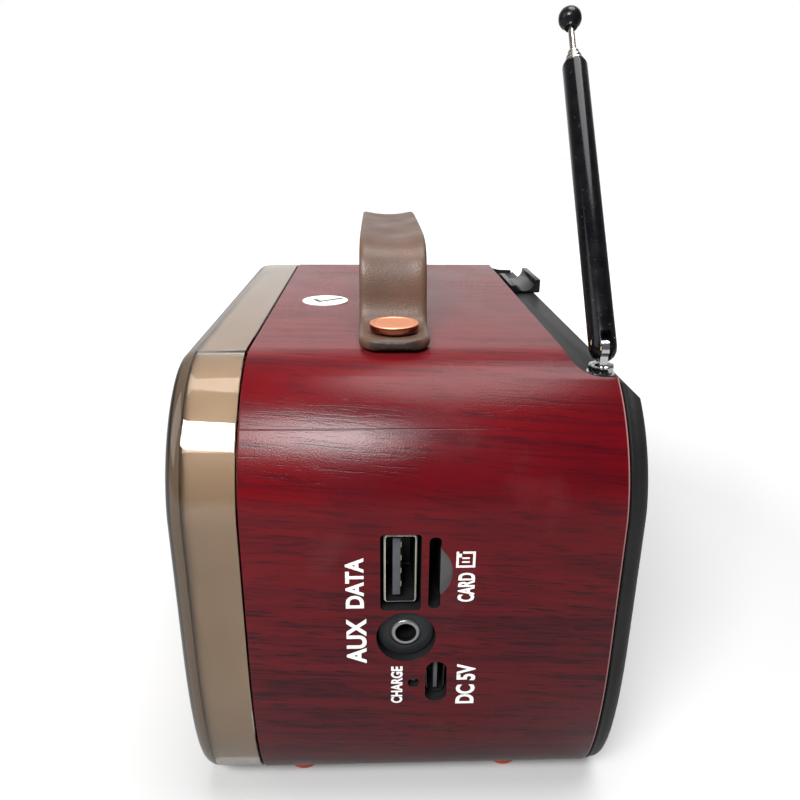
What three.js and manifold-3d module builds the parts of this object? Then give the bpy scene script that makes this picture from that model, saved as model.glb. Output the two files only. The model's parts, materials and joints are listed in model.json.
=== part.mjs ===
// Small retro radio and speaker: a moulded tube-shaped case with a smoked front cover, a rear cover with a
// resting shelf for a telescopic antenna, a leatherette carrying strap, and its controls, sockets and insides.
// Millimetres. X runs along the case, with the sockets at +X. Y runs from the front to the back. Z is up.
import * as THREE from 'three';
import { mergeVertices } from 'three/addons/utils/BufferGeometryUtils.js';
import Module from 'manifold-3d';

const manifoldLibrary = await Module();
manifoldLibrary.setup();

// ---- Driving dimensions ----
const GAP = 0.3;                     // clearance between pieces that sit against each other
const CASE_LENGTH = 125;
const CASE_HEIGHT = 82.2;
const SHELL_DEPTH = 62;
const WALL = 2.5;
const TOP_CORNER = { width: 20.3, height: 23.9, power: 1.79 };
const BOTTOM_CORNER = { width: 11.7, height: 34.2, power: 2.2 };
const CORNER_STEPS = 8;
const FOOT = { radius: 3.1, height: 2.2, x: 49.5, front: 7, back: 47 };
const COVER_FRONT = -11.8;           // y of the front cover's face
const COVER_WALL = 1.8;
const FRAME_FRONT = -9.3;            // y of the front frame's face
const FRAME_WALL = 1.3;
const BACK_FACE = 65.8;              // y of the rear cover's outside face
const SHELF = { z: 78.6, floor: 76.6, front: 54.2, flat: 42.6, end: 50.4 };
const KNOB = { x: 32, z: 13.5, radius: 6.4, front: -16.3, shaft: 1.9 };
const SPEAKER = { x: -28, z: 56.6, radius: 19.6 };
const DIAL = { x: 28, z: 56, radius: 17.3 };
const BUTTONS = { z: 29.5, height: 6.8, width: 21.4, pitch: 22, front: -13.2, halfStrip: 57 };
const STRAP = { y: 25, width: 12.4, thickness: 2, half: 45.8, corner: 4, screwX: 40, top: 100 };
const STRAP_BOLT = { radius: 1.5, hole: 1.9, head: 4.3, headHeight: 1.4 };
const PIVOT = { x: 46.6, y: 60, z: 83.3, lift: 53.4, bolt: 1.2, hole: 1.6 };
const BOARD = { x0: 17, x1: 59, y0: 29.1, y1: 30.1, z0: 19, z1: 60 };
const SIDE = CASE_LENGTH / 2;        // x of the outside of the socket end
const USB = { y0: 22.3, y1: 29, z0: 42.8, z1: 57.2 };
const AUX = { y: 26.6, z: 37.4, recess: 5, jack: 1.85 };
const CARD = { y0: 30.2, y1: 32.2, z0: 43.2, z1: 56.6 };
const THUMB_SCOOP = { radius: 5.8, width: 1.9, z: 50.1, depth: 1.2 };  // a finger's room beside the card slot
const USB_C = { y0: 29.9, y1: 33.9, z0: 23.4, z1: 32.4 };
const LED = { y: 28, z: 27.7, radius: 1 };

// ---- Colours and finishes ----
const FINISHES = {
  rosewood: { color: 0x6e1218, roughness: 0.35, metalness: 0 },
  smoked: { color: 0x4a4038, roughness: 0.08, metalness: 0 },
  champagne: { color: 0xa08c78, roughness: 0.4, metalness: 0.2 },
  gold: { color: 0xc79a4b, roughness: 0.25, metalness: 1 },
  copper: { color: 0xc9805e, roughness: 0.25, metalness: 1 },
  chrome: { color: 0xd0d0d0, roughness: 0.1, metalness: 1 },
  lacquer: { color: 0x101012, roughness: 0.15, metalness: 0 },
  blackPlastic: { color: 0x1a1a1c, roughness: 0.5, metalness: 0 },
  leatherette: { color: 0x76594a, roughness: 0.5, metalness: 0 },
  silicone: { color: 0xb5452a, roughness: 0.6, metalness: 0 },
  circuitBoard: { color: 0x1f5a34, roughness: 0.5, metalness: 0 },
  steel: { color: 0xa8a8a8, roughness: 0.35, metalness: 1 },
  paper: { color: 0x2b2b2b, roughness: 0.9, metalness: 0 },
  cream: { color: 0xe6dcc0, roughness: 0.6, metalness: 0 },
  batteryWrap: { color: 0x2c5fa0, roughness: 0.4, metalness: 0 },
};

const radio = new THREE.Group();

function addPart(name, geometry, finish, parent = radio) {
  const mesh = new THREE.Mesh(geometry, new THREE.MeshStandardMaterial(FINISHES[finish]));
  mesh.name = name;
  parent.add(mesh);
}

// ---- Solids and booleans ----
function toManifold(geometry) {
  const bare = geometry.clone();
  bare.deleteAttribute('normal');
  bare.deleteAttribute('uv');
  const merged = mergeVertices(bare, 1e-4);
  const vertProperties = new Float32Array(merged.attributes.position.array);
  const triVerts = new Uint32Array(merged.index.array);
  return new manifoldLibrary.Manifold(new manifoldLibrary.Mesh({ numProp: 3, vertProperties, triVerts }));
}

function toGeometry(manifold) {
  const mesh = manifold.getMesh();
  const geometry = new THREE.BufferGeometry();
  geometry.setAttribute('position', new THREE.Float32BufferAttribute(mesh.vertProperties, 3));
  geometry.setIndex(Array.from(mesh.triVerts));
  geometry.computeVertexNormals();
  return geometry;
}

function join(...geometries) {
  return toGeometry(geometries.map(toManifold).reduce((sum, next) => sum.add(next)));
}

function cut(base, ...tools) {
  return toGeometry(tools.map(toManifold).reduce((rest, tool) => rest.subtract(tool), toManifold(base)));
}

function overlap(first, second) {
  return toGeometry(toManifold(first).intersect(toManifold(second)));
}

function box(x0, x1, y0, y1, z0, z1) {
  const geometry = new THREE.BoxGeometry(x1 - x0, y1 - y0, z1 - z0);
  return geometry.translate((x0 + x1) / 2, (y0 + y1) / 2, (z0 + z1) / 2);
}

// A rod between two places on one axis; at gives the two other coordinates in X, Y, Z order.
function rod(axis, radius, from, to, at, segments = 24) {
  const geometry = new THREE.CylinderGeometry(radius, radius, to - from, segments);
  const middle = (from + to) / 2;
  if (axis === 'x') return geometry.rotateZ(Math.PI / 2).translate(middle, at[0], at[1]);
  if (axis === 'z') return geometry.rotateX(Math.PI / 2).translate(at[0], at[1], middle);
  return geometry.translate(at[0], middle, at[1]);
}

// A turned piece about the Y direction, from [radius, y] points that start and end on the axis or close up.
function turnedAlongY(profile, x, z, segments = 24) {
  const points = profile.map(([radius, y]) => new THREE.Vector2(radius, y));
  return facingOut(new THREE.LatheGeometry(points, segments)).translate(x, 0, z);
}

// A turned piece about the Z direction, from [radius, z] points.
function turnedAlongZ(profile, x = 0, y = 0, segments = 16) {
  const points = profile.map(([radius, z]) => new THREE.Vector2(radius, z));
  return facingOut(new THREE.LatheGeometry(points, segments)).rotateX(Math.PI / 2).translate(x, y, 0);
}

function tubeProfile(inner, outer, from, to) {
  return [[inner, from], [outer, from], [outer, to], [inner, to], [inner, from]];
}

function signedVolume(geometry) {
  const { position } = geometry.attributes;
  const corner = [0, 1, 2].map(() => new THREE.Vector3());
  let volume = 0;
  for (let i = 0; i < geometry.index.count; i += 3) {
    corner.forEach((point, k) => point.fromBufferAttribute(position, geometry.index.getX(i + k)));
    volume += corner[0].dot(corner[1].cross(corner[2]));
  }
  return volume;
}

// Turns every face round if the solid came out inside out.
function facingOut(geometry) {
  if (signedVolume(geometry) < 0) {
    const order = geometry.index.array;
    for (let i = 0; i < order.length; i += 3) [order[i], order[i + 1]] = [order[i + 1], order[i]];
  }
  return geometry;
}

// ---- The case's outline, seen from the front ----
// The right half runs up from the underside to the top: a tall soft bottom corner and a flatter top corner.
function rightHalf() {
  const points = [];
  const half = CASE_LENGTH / 2;
  for (let i = 0; i <= CORNER_STEPS; i++) {
    const angle = (i / CORNER_STEPS) * (Math.PI / 2);
    const across = Math.sin(angle) ** (2 / BOTTOM_CORNER.power);
    const down = Math.cos(angle) ** (2 / BOTTOM_CORNER.power);
    points.push([half - BOTTOM_CORNER.width * (1 - across), BOTTOM_CORNER.height * (1 - down)]);
  }
  for (let i = 0; i <= CORNER_STEPS; i++) {
    const angle = (i / CORNER_STEPS) * (Math.PI / 2);
    const across = Math.cos(angle) ** (2 / TOP_CORNER.power);
    const up = Math.sin(angle) ** (2 / TOP_CORNER.power);
    points.push([half - TOP_CORNER.width * (1 - across), CASE_HEIGHT - TOP_CORNER.height * (1 - up)]);
  }
  return points;
}

// One ring of the case's outline, moved inwards by inset, in the plane at y.
function caseRing(inset, y) {
  const right = rightHalf();
  const full = [...right, ...right.map(([x, z]) => [-x, z]).reverse()];
  const count = full.length;
  return full.map(([x, z], i) => {
    const [beforeX, beforeZ] = full[(i + count - 1) % count];
    const [afterX, afterZ] = full[(i + 1) % count];
    const along = new THREE.Vector2(afterX - beforeX, afterZ - beforeZ).normalize();
    return [x - along.y * inset, y, z + along.x * inset];
  });
}

// A closed solid through rings of the outline. Its ends are strips between the right and left halves.
function caseLoft(...rings) {
  const count = rings[0].length;
  const order = [];
  for (let r = 0; r + 1 < rings.length; r++) {
    for (let i = 0; i < count; i++) {
      const next = (i + 1) % count;
      const a = r * count + i;
      const b = r * count + next;
      order.push(a, b, b + count, a, b + count, a + count);
    }
  }
  const last = (rings.length - 1) * count;
  for (let i = 0; i + 1 < count / 2; i++) {
    const mirror = count - 1 - i;
    order.push(i, mirror, mirror - 1, i, mirror - 1, i + 1);
    order.push(last + i, last + i + 1, last + mirror - 1, last + i, last + mirror - 1, last + mirror);
  }
  const geometry = new THREE.BufferGeometry();
  geometry.setAttribute('position', new THREE.Float32BufferAttribute(rings.flat(2), 3));
  geometry.setIndex(order);
  return facingOut(geometry);
}

// The cut-out in the top rear edge, seen from above. It swings back to the rear edge at both ends.
function shelfOutline(shrink) {
  const front = SHELF.front + shrink;
  const flat = SHELF.flat - shrink;
  const end = SHELF.end - shrink;
  const rear = SHELL_DEPTH + 2;
  const shape = new THREE.Shape();
  shape.moveTo(-end, rear);
  shape.lineTo(-end, SHELL_DEPTH - 2);
  shape.bezierCurveTo(-end, front + 0.5, -flat - 3, front, -flat, front);
  shape.lineTo(flat, front);
  shape.bezierCurveTo(flat + 3, front, end, front + 0.5, end, SHELL_DEPTH - 2);
  shape.lineTo(end, rear);
  return shape;
}

function shelfPrism(shrink, z0, z1) {
  const options = { depth: z1 - z0, bevelEnabled: false, curveSegments: 6 };
  return new THREE.ExtrudeGeometry(shelfOutline(shrink), options).translate(0, 0, z0);
}

// ---- Shell ----
const POSTS = [[-54.5, 12], [54.5, 12], [-54.5, 66], [54.5, 66]];
const POST = { radius: 3.4, from: 46, to: 59.4, pilot: 1.1 };

function shell() {
  const tube = cut(
    caseLoft(caseRing(0, 0), caseRing(0, SHELL_DEPTH)),
    caseLoft(caseRing(WALL, -1), caseRing(WALL, SHELL_DEPTH + 1)),
    shelfPrism(0, SHELF.floor - GAP, CASE_HEIGHT + 2),
  );
  const posts = POSTS.map(([x, z]) => rod('y', POST.radius, POST.from, POST.to, [x, z], 12));
  const outside = caseLoft(caseRing(WALL / 2, POST.from - 1), caseRing(WALL / 2, POST.to + 1));
  const fitted = posts.map((post) => overlap(post, outside));
  const through = [SIDE - WALL - 4, SIDE + 1];
  const holes = [
    box(...through, USB.y0, USB.y1, USB.z0, USB.z1),
    rod('x', AUX.recess, ...through, [AUX.y, AUX.z], 24),
    box(...through, CARD.y0, CARD.y1, CARD.z0, CARD.z1),
    box(...through, USB_C.y0, USB_C.y1, USB_C.z0, USB_C.z1),
    rod('x', LED.radius, ...through, [LED.y, LED.z], 12),
    rod('z', STRAP_BOLT.hole, CASE_HEIGHT - WALL - 1, CASE_HEIGHT + 1, [-STRAP.screwX, STRAP.y], 12),
    rod('z', STRAP_BOLT.hole, CASE_HEIGHT - WALL - 1, CASE_HEIGHT + 1, [STRAP.screwX, STRAP.y], 12),
    ...POSTS.map(([x, z]) => rod('y', POST.pilot, POST.from + 3, POST.to + 1, [x, z], 10)),
  ];
  const scoopCentre = [CARD.y1 + THUMB_SCOOP.width - THUMB_SCOOP.radius, THUMB_SCOOP.z];
  const thumbScoop = overlap(
    rod('x', THUMB_SCOOP.radius, SIDE - THUMB_SCOOP.depth, SIDE + 1, scoopCentre, 32),
    box(SIDE - WALL, SIDE + 2, CARD.y0 + 1, CARD.y1 + THUMB_SCOOP.width + 1, CARD.z0 + 1, CARD.z1 - 1),
  );
  return cut(join(tube, ...fitted), ...holes, thumbScoop);
}
addPart('shell', shell(), 'rosewood');

// ---- Front cover, frame and trims ----
function buttonX(index) {
  return (index - 2) * BUTTONS.pitch;
}

function frontCover() {
  const outside = caseLoft(
    caseRing(0.1, -GAP),
    caseRing(0.25, COVER_FRONT + 3.8),
    caseRing(0.9, COVER_FRONT + 1.5),
    caseRing(2.2, COVER_FRONT + 0.3),
    caseRing(3.3, COVER_FRONT),
  );
  const hollow = caseLoft(caseRing(COVER_WALL, 1), caseRing(COVER_WALL, FRAME_FRONT - GAP));
  const through = [COVER_FRONT - 1, FRAME_FRONT + 1];
  const strip = BUTTONS.halfStrip + GAP;
  const stripHalfHeight = BUTTONS.height / 2 + 1.3 + GAP;
  return cut(
    outside,
    hollow,
    rod('y', SPEAKER.radius + GAP, ...through, [SPEAKER.x, SPEAKER.z], 36),
    rod('y', KNOB.shaft + 1, ...through, [-KNOB.x, KNOB.z], 16),
    rod('y', KNOB.shaft + 1, ...through, [KNOB.x, KNOB.z], 16),
    box(-strip, strip, ...through, BUTTONS.z - stripHalfHeight, BUTTONS.z + stripHalfHeight),
  );
}
addPart('front_cover', frontCover(), 'smoked');

function frontFrame() {
  const outerInset = COVER_WALL + GAP;
  const innerInset = outerInset + FRAME_WALL;
  const outside = caseLoft(
    caseRing(outerInset, -GAP),
    caseRing(outerInset, FRAME_FRONT + 0.8),
    caseRing(outerInset + 0.8, FRAME_FRONT),
  );
  const hollow = caseLoft(caseRing(innerInset, 1), caseRing(innerInset, FRAME_FRONT + 1.5));
  const through = [FRAME_FRONT - 1, FRAME_FRONT + 2.5];
  const stemHoles = [0, 1, 2, 3, 4].map((index) => {
    const x = buttonX(index);
    return box(x - 2.2, x + 2.2, ...through, BUTTONS.z - 2.2, BUTTONS.z + 2.2);
  });
  return cut(
    outside,
    hollow,
    rod('y', SPEAKER.radius - 1.5, ...through, [SPEAKER.x, SPEAKER.z], 32),
    rod('y', DIAL.radius, ...through, [DIAL.x, DIAL.z], 32),
    rod('y', KNOB.shaft + 1, ...through, [-KNOB.x, KNOB.z], 16),
    rod('y', KNOB.shaft + 1, ...through, [KNOB.x, KNOB.z], 16),
    ...stemHoles,
  );
}
addPart('front_frame', frontFrame(), 'champagne');

function buttonTrim() {
  const innerHalf = BUTTONS.halfStrip - 1;
  const innerHeight = BUTTONS.height / 2 + GAP;
  const outerHeight = innerHeight + 1;
  const y0 = COVER_FRONT - 0.5;
  const y1 = FRAME_FRONT - GAP;
  return cut(
    box(-BUTTONS.halfStrip, BUTTONS.halfStrip, y0, y1, BUTTONS.z - outerHeight, BUTTONS.z + outerHeight),
    box(-innerHalf, innerHalf, y0 - 1, y1 + 1, BUTTONS.z - innerHeight, BUTTONS.z + innerHeight),
  );
}
addPart('button_trim', buttonTrim(), 'gold');

const ringBack = COVER_FRONT - GAP;
addPart('grille_ring', turnedAlongY(
  tubeProfile(SPEAKER.radius + 0.5, SPEAKER.radius + 2.1, ringBack - 0.7, ringBack),
  SPEAKER.x, SPEAKER.z, 32), 'gold');
addPart('dial_ring', turnedAlongY(
  tubeProfile(DIAL.radius - 0.4, DIAL.radius + 1.2, ringBack - 0.7, ringBack),
  DIAL.x, DIAL.z, 32), 'gold');

// ---- Loudspeaker ----
const GRILLE = { front: -13.4, shoulder: 14, shoulderY: -13, rimY: -12.2, thickness: 0.8 };
addPart('speaker_grille', turnedAlongY(
  [[0, GRILLE.front], [GRILLE.shoulder, GRILLE.shoulderY], [SPEAKER.radius, GRILLE.rimY],
    [SPEAKER.radius, GRILLE.rimY + 1], [GRILLE.shoulder, GRILLE.shoulderY + GRILLE.thickness],
    [0, GRILLE.front + GRILLE.thickness]],
  SPEAKER.x, SPEAKER.z, 32), 'blackPlastic');

// The basket's rim is screwed behind the frame, and its cup narrows to a plate that carries the magnet.
const SPEAKER_SEAT = FRAME_FRONT + 1.5 + GAP;
const BASKET = { rim: 21.8, mouth: 18.6, flange: 1.4, cup: 12.5, hole: 6.4, plate: 8.2, rear: 9.6 };
addPart('speaker_basket', turnedAlongY(
  [[BASKET.mouth, SPEAKER_SEAT], [BASKET.rim, SPEAKER_SEAT], [BASKET.rim, SPEAKER_SEAT + BASKET.flange],
    [BASKET.mouth + 0.6, SPEAKER_SEAT + BASKET.flange], [BASKET.cup, BASKET.plate + 0.2],
    [BASKET.cup, BASKET.rear], [BASKET.hole, BASKET.rear], [BASKET.hole, BASKET.plate],
    [BASKET.cup - 1.3, BASKET.plate], [BASKET.mouth, SPEAKER_SEAT]],
  SPEAKER.x, SPEAKER.z, 24), 'steel');
const CONE = { surround: 17.8, edge: 16.2, coil: 5.4, capFront: -3.4, neck: -0.8, coilEnd: 5, paper: 0.6 };
addPart('speaker_cone', turnedAlongY(
  [[0, CONE.capFront], [CONE.coil - 0.4, CONE.capFront + 1], [CONE.coil + 0.2, CONE.neck - 0.8],
    [CONE.edge, SPEAKER_SEAT + 0.4], [CONE.surround, SPEAKER_SEAT + 0.2],
    [CONE.surround, SPEAKER_SEAT + 0.2 + CONE.paper], [CONE.edge + 0.2, SPEAKER_SEAT + 0.4 + CONE.paper],
    [CONE.coil, CONE.neck], [CONE.coil, CONE.coilEnd], [0, CONE.coilEnd]],
  SPEAKER.x, SPEAKER.z, 24), 'paper');
const MAGNET = { radius: 15, front: 10, rear: 19, chamfer: 0.5 };
addPart('speaker_magnet', turnedAlongY(
  [[0, MAGNET.front], [MAGNET.radius - MAGNET.chamfer, MAGNET.front],
    [MAGNET.radius, MAGNET.front + MAGNET.chamfer], [MAGNET.radius, MAGNET.rear - MAGNET.chamfer],
    [MAGNET.radius - MAGNET.chamfer, MAGNET.rear], [0, MAGNET.rear]],
  SPEAKER.x, SPEAKER.z, 24), 'steel');

// ---- Tuning dial ----
const DIAL_PLATE = { y0: FRAME_FRONT + 1.5 + GAP, y1: FRAME_FRONT + 2.6 + GAP, bore: 1.6 };
addPart('dial_plate', turnedAlongY(
  tubeProfile(DIAL_PLATE.bore, DIAL.radius + 1.2, DIAL_PLATE.y0, DIAL_PLATE.y1), DIAL.x, DIAL.z, 32), 'cream');

function dialPointer() {
  const hub = rod('y', 2.2, FRAME_FRONT + 0.1, FRAME_FRONT + 1.2, [DIAL.x, DIAL.z], 16);
  const arm = box(DIAL.x - 0.5, DIAL.x + 0.5, FRAME_FRONT + 0.2, FRAME_FRONT + 0.8, DIAL.z - 4, DIAL.z + 14.5);
  const spindle = rod('y', 1.1, FRAME_FRONT + 0.5, DIAL_PLATE.y1 + 3, [DIAL.x, DIAL.z], 12);
  return join(hub, arm, spindle);
}
addPart('dial_pointer', dialPointer(), 'gold');

// ---- Knobs, their shafts and the parts they turn ----
function knob(x) {
  const back = COVER_FRONT - 0.4;
  return turnedAlongY(
    [[0, KNOB.front], [KNOB.radius - 0.9, KNOB.front], [KNOB.radius - 0.2, KNOB.front + 0.7],
      [KNOB.radius, back], [KNOB.shaft + GAP, back], [KNOB.shaft + GAP, KNOB.front + 1.2],
      [0, KNOB.front + 1.2]],
    x, KNOB.z, 24);
}

function knobShaft(x) {
  return rod('y', KNOB.shaft, KNOB.front + 1.5, FRAME_FRONT + 1.9, [x, KNOB.z], 12);
}

for (const [name, side] of [['volume', -1], ['tuning', 1]]) {
  addPart(`${name}_knob`, knob(side * KNOB.x), 'gold');
  addPart(`${name}_shaft`, knobShaft(side * KNOB.x), 'steel');
}
const CONTROL_FRONT = FRAME_FRONT + 2.2;

// A square-bodied component behind a knob, as deep as given.
function control(x, half, depth) {
  return box(x - half, x + half, CONTROL_FRONT, CONTROL_FRONT + depth, KNOB.z - half, KNOB.z + half);
}
addPart('volume_control', control(-KNOB.x, 6, 7), 'steel');
addPart('tuning_capacitor', control(KNOB.x, 7, 9), 'cream');

// ---- Push buttons and their board ----
function pushButton(x) {
  const halfWidth = BUTTONS.width / 2;
  const halfHeight = BUTTONS.height / 2;
  const capBack = FRAME_FRONT - 0.9 - GAP;
  const edge = 0.6;
  const section = [[-halfWidth, BUTTONS.front + edge], [edge - halfWidth, BUTTONS.front],
    [halfWidth - edge, BUTTONS.front], [halfWidth, BUTTONS.front + edge],
    [halfWidth, capBack], [-halfWidth, capBack]];
  const shape = new THREE.Shape(section.map(([across, y]) => new THREE.Vector2(x + across, y)));
  const cap = new THREE.ExtrudeGeometry(shape, { depth: BUTTONS.height, bevelEnabled: false });
  cap.translate(0, 0, BUTTONS.z - halfHeight);
  const stem = box(x - 1.6, x + 1.6, capBack - 0.5, FRAME_FRONT + 2.4, BUTTONS.z - 1.6, BUTTONS.z + 1.6);
  return join(cap, stem);
}

const BUTTON_NAMES = ['previous', 'play', 'mode', 'light', 'next'];
BUTTON_NAMES.forEach((name, index) => addPart(`button_${name}`, pushButton(buttonX(index)), 'blackPlastic'));

// The switches are soldered to their board and stand just clear of the button stems.
const SWITCH_FRONT = FRAME_FRONT + 3.7;
const BUTTON_BOARD = { y0: SWITCH_FRONT + 3, y1: SWITCH_FRONT + 4.2, half: 52 };

function buttonBoard() {
  const board = box(-BUTTON_BOARD.half, BUTTON_BOARD.half, BUTTON_BOARD.y0, BUTTON_BOARD.y1,
    BUTTONS.z - 4.4, BUTTONS.z + 3.4);
  const switches = BUTTON_NAMES.map((_, index) => {
    const x = buttonX(index);
    return join(
      box(x - 2.5, x + 2.5, SWITCH_FRONT + 0.8, BUTTON_BOARD.y0 + 0.5, BUTTONS.z - 2.5, BUTTONS.z + 2.5),
      rod('y', 1.2, SWITCH_FRONT, SWITCH_FRONT + 1, [x, BUTTONS.z], 10),
    );
  });
  return join(board, ...switches);
}
addPart('button_board', buttonBoard(), 'circuitBoard');

// ---- Rear cover, its screws and the antenna clip ----
const CLIP = { x0: -37, x1: -19.5, front: 56.4, rear: 64, floor: 79.4, top: 82.4, channel: 2.55 };
const NUT_POCKET = { radius: 3.4, depth: 3 };
const SCREW_HEAD = { recess: 2.5, depth: 2, radius: 2.1, height: 1.5, shank: 0.7, slot: 0.3 };
const SEAL = { half: 40, thickness: 1.4 };  // the rib that closes the slit under the shell's cut-out

function backCover() {
  const plate = caseLoft(
    caseRing(0.15, SHELL_DEPTH + GAP),
    caseRing(0.35, SHELL_DEPTH + 0.9),
    caseRing(3.3, BACK_FACE),
  );
  const lip = cut(
    caseLoft(caseRing(WALL + GAP, SHELL_DEPTH - 2.2), caseRing(WALL + GAP, SHELL_DEPTH + 1)),
    caseLoft(caseRing(WALL + 1.8, SHELL_DEPTH - 3), caseRing(WALL + 1.8, SHELL_DEPTH + 0.2)),
  );
  const shelf = shelfPrism(GAP, SHELF.floor, SHELF.z);
  const underTop = CASE_HEIGHT - WALL - GAP;
  const sealFront = SHELF.front - 2;
  const seal = box(-SEAL.half, SEAL.half, sealFront, sealFront + SEAL.thickness, SHELF.floor, underTop);
  const sealRoot = box(-SEAL.half, SEAL.half, sealFront, SHELF.front + 1, SHELF.floor, SHELF.z - 0.4);
  const aboveShelf = box(-SIDE, SIDE, SHELF.front, BACK_FACE + 1, SHELF.z, CASE_HEIGHT + 3);
  const topBevel = new THREE.ExtrudeGeometry(
    new THREE.Shape([
      new THREE.Vector2(SHELL_DEPTH, SHELF.z + 1), new THREE.Vector2(BACK_FACE + 1, SHELF.z + 1),
      new THREE.Vector2(BACK_FACE + 1, SHELF.z - 4), new THREE.Vector2(BACK_FACE, SHELF.z - 3.2),
      new THREE.Vector2(SHELL_DEPTH + 0.2, SHELF.z),
    ]),
    { depth: CASE_LENGTH, bevelEnabled: false },
  ).rotateX(Math.PI / 2).rotateZ(Math.PI / 2).translate(-SIDE, 0, 0);
  const screwHoles = POSTS.flatMap(([x, z]) => [
    rod('y', POST.pilot + 0.5, SHELL_DEPTH - 4, BACK_FACE + 1, [x, z], 12),
    rod('y', SCREW_HEAD.recess, BACK_FACE - SCREW_HEAD.depth, BACK_FACE + 1, [x, z], 16),
  ]);
  const mountingHole = rod('z', PIVOT.hole, SHELF.floor - 1, SHELF.z + 1, [PIVOT.x, PIVOT.y], 12);
  const pocketFloor = SHELF.floor - NUT_POCKET.depth;
  const nutPocket = rod('z', NUT_POCKET.radius, pocketFloor, SHELF.floor, [PIVOT.x, PIVOT.y], 16);
  const postEnd = POST.to + GAP;
  const postRoom = POSTS.map(([x, z]) => rod('y', POST.radius + 0.4, SHELL_DEPTH - 4, postEnd, [x, z], 12));
  const solid = join(plate, lip, shelf, sealRoot, seal);
  return cut(solid, aboveShelf, topBevel, mountingHole, nutPocket, ...screwHoles, ...postRoom);
}
addPart('back_cover', backCover(), 'blackPlastic');

// A cross-head screw, sunk in the cover with its tip in a post of the shell.
function backScrew(x, z) {
  const under = BACK_FACE - SCREW_HEAD.depth + GAP;
  const top = under + SCREW_HEAD.height;
  const tip = POST.from + 5;
  const screw = turnedAlongY(
    [[0, tip], [SCREW_HEAD.shank, tip + 1.2], [SCREW_HEAD.shank, under], [SCREW_HEAD.radius, under],
      [SCREW_HEAD.radius, top - 0.5], [SCREW_HEAD.radius - 0.7, top], [0, top]],
    x, z, 12);
  const arm = SCREW_HEAD.radius - 0.5;
  const slot = box(x - arm, x + arm, top - 0.6, top + 1, z - SCREW_HEAD.slot, z + SCREW_HEAD.slot);
  const crossSlot = box(x - SCREW_HEAD.slot, x + SCREW_HEAD.slot, top - 0.6, top + 1, z - arm, z + arm);
  return cut(screw, slot, crossSlot);
}
POSTS.forEach(([x, z], index) => addPart(`back_screw_${index + 1}`, backScrew(x, z), 'steel'));

function antennaClip() {
  const foot = SHELF.z + GAP;
  const block = box(CLIP.x0, CLIP.x1, CLIP.front, CLIP.rear, foot, CLIP.top);
  const foldedZ = CLIP.floor + CLIP.channel;
  const along = [CLIP.x0 - 1, CLIP.x1 + 1];
  const channel = rod('x', CLIP.channel, ...along, [PIVOT.y, foldedZ], 20);
  const hookEdge = PIVOT.y + CLIP.channel - 0.35;
  const mouth = box(...along, PIVOT.y - CLIP.channel, hookEdge, foldedZ, CLIP.top + 1);
  const lowFront = box(...along, CLIP.front - 1, PIVOT.y, CLIP.top - 1.6, CLIP.top + 1);
  return cut(block, channel, mouth, lowFront);
}
addPart('antenna_clip', antennaClip(), 'blackPlastic');

// ---- Feet ----
const FEET = [['front_left', -1, FOOT.front], ['front_right', 1, FOOT.front],
  ['back_left', -1, FOOT.back], ['back_right', 1, FOOT.back]];
for (const [name, side, y] of FEET) {
  addPart(`foot_${name}`, turnedAlongZ(
    [[0, -FOOT.height], [FOOT.radius * 0.62, -FOOT.height], [FOOT.radius * 0.92, -FOOT.height * 0.7],
      [FOOT.radius, -GAP], [0, -GAP]],
    side * FOOT.x, y, 20), 'silicone');
}

// ---- Strap handle and its fastenings ----
// The strap's underside lies on the case at both ends and stands up between them in a broad flat-topped arch.
function strapHandle() {
  const seat = CASE_HEIGHT + GAP;
  const crown = STRAP.top - STRAP.thickness;
  const rightSide = new THREE.Path();
  rightSide.moveTo(STRAP.half, seat);
  rightSide.lineTo(37.5, seat);
  rightSide.bezierCurveTo(33, seat, 31.2, seat + 1.6, 30.4, seat + 6);
  rightSide.bezierCurveTo(29.6, seat + 11, 28, crown - 0.4, 18, crown - 0.2);
  rightSide.bezierCurveTo(12, crown, 6, crown, 0, crown);
  const half = rightSide.getSpacedPoints(24);
  const lower = [...half, ...half.slice(0, -1).reverse().map(({ x, y }) => new THREE.Vector2(-x, y))];
  const upper = lower.map((point, i) => {
    const before = lower[Math.max(i - 1, 0)];
    const after = lower[Math.min(i + 1, lower.length - 1)];
    const along = new THREE.Vector2().subVectors(after, before).normalize();
    return new THREE.Vector2(point.x + along.y * STRAP.thickness, point.y - along.x * STRAP.thickness);
  });
  const outline = new THREE.Shape([...lower, ...upper.reverse()]);
  const band = new THREE.ExtrudeGeometry(outline, { depth: STRAP.width, bevelEnabled: false });
  band.rotateX(Math.PI / 2).translate(0, STRAP.y + STRAP.width / 2, 0);
  const rounding = new THREE.Shape();
  const { corner } = STRAP;
  const [x1, y0, y1] = [STRAP.half, STRAP.y - STRAP.width / 2, STRAP.y + STRAP.width / 2];
  rounding.moveTo(-x1 + corner, y0);
  rounding.lineTo(x1 - corner, y0);
  rounding.quadraticCurveTo(x1, y0, x1, y0 + corner);
  rounding.lineTo(x1, y1 - corner);
  rounding.quadraticCurveTo(x1, y1, x1 - corner, y1);
  rounding.lineTo(-x1 + corner, y1);
  rounding.quadraticCurveTo(-x1, y1, -x1, y1 - corner);
  rounding.lineTo(-x1, y0 + corner);
  rounding.quadraticCurveTo(-x1, y0, -x1 + corner, y0);
  const rounded = new THREE.ExtrudeGeometry(rounding, { depth: 40, bevelEnabled: false, curveSegments: 4 });
  const holes = [-1, 1].map((side) =>
    rod('z', STRAP_BOLT.hole, CASE_HEIGHT - 1, CASE_HEIGHT + 5, [side * STRAP.screwX, STRAP.y], 12));
  return cut(overlap(band, rounded.translate(0, 0, CASE_HEIGHT - 10)), ...holes);
}
addPart('strap_handle', strapHandle(), 'leatherette');

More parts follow.
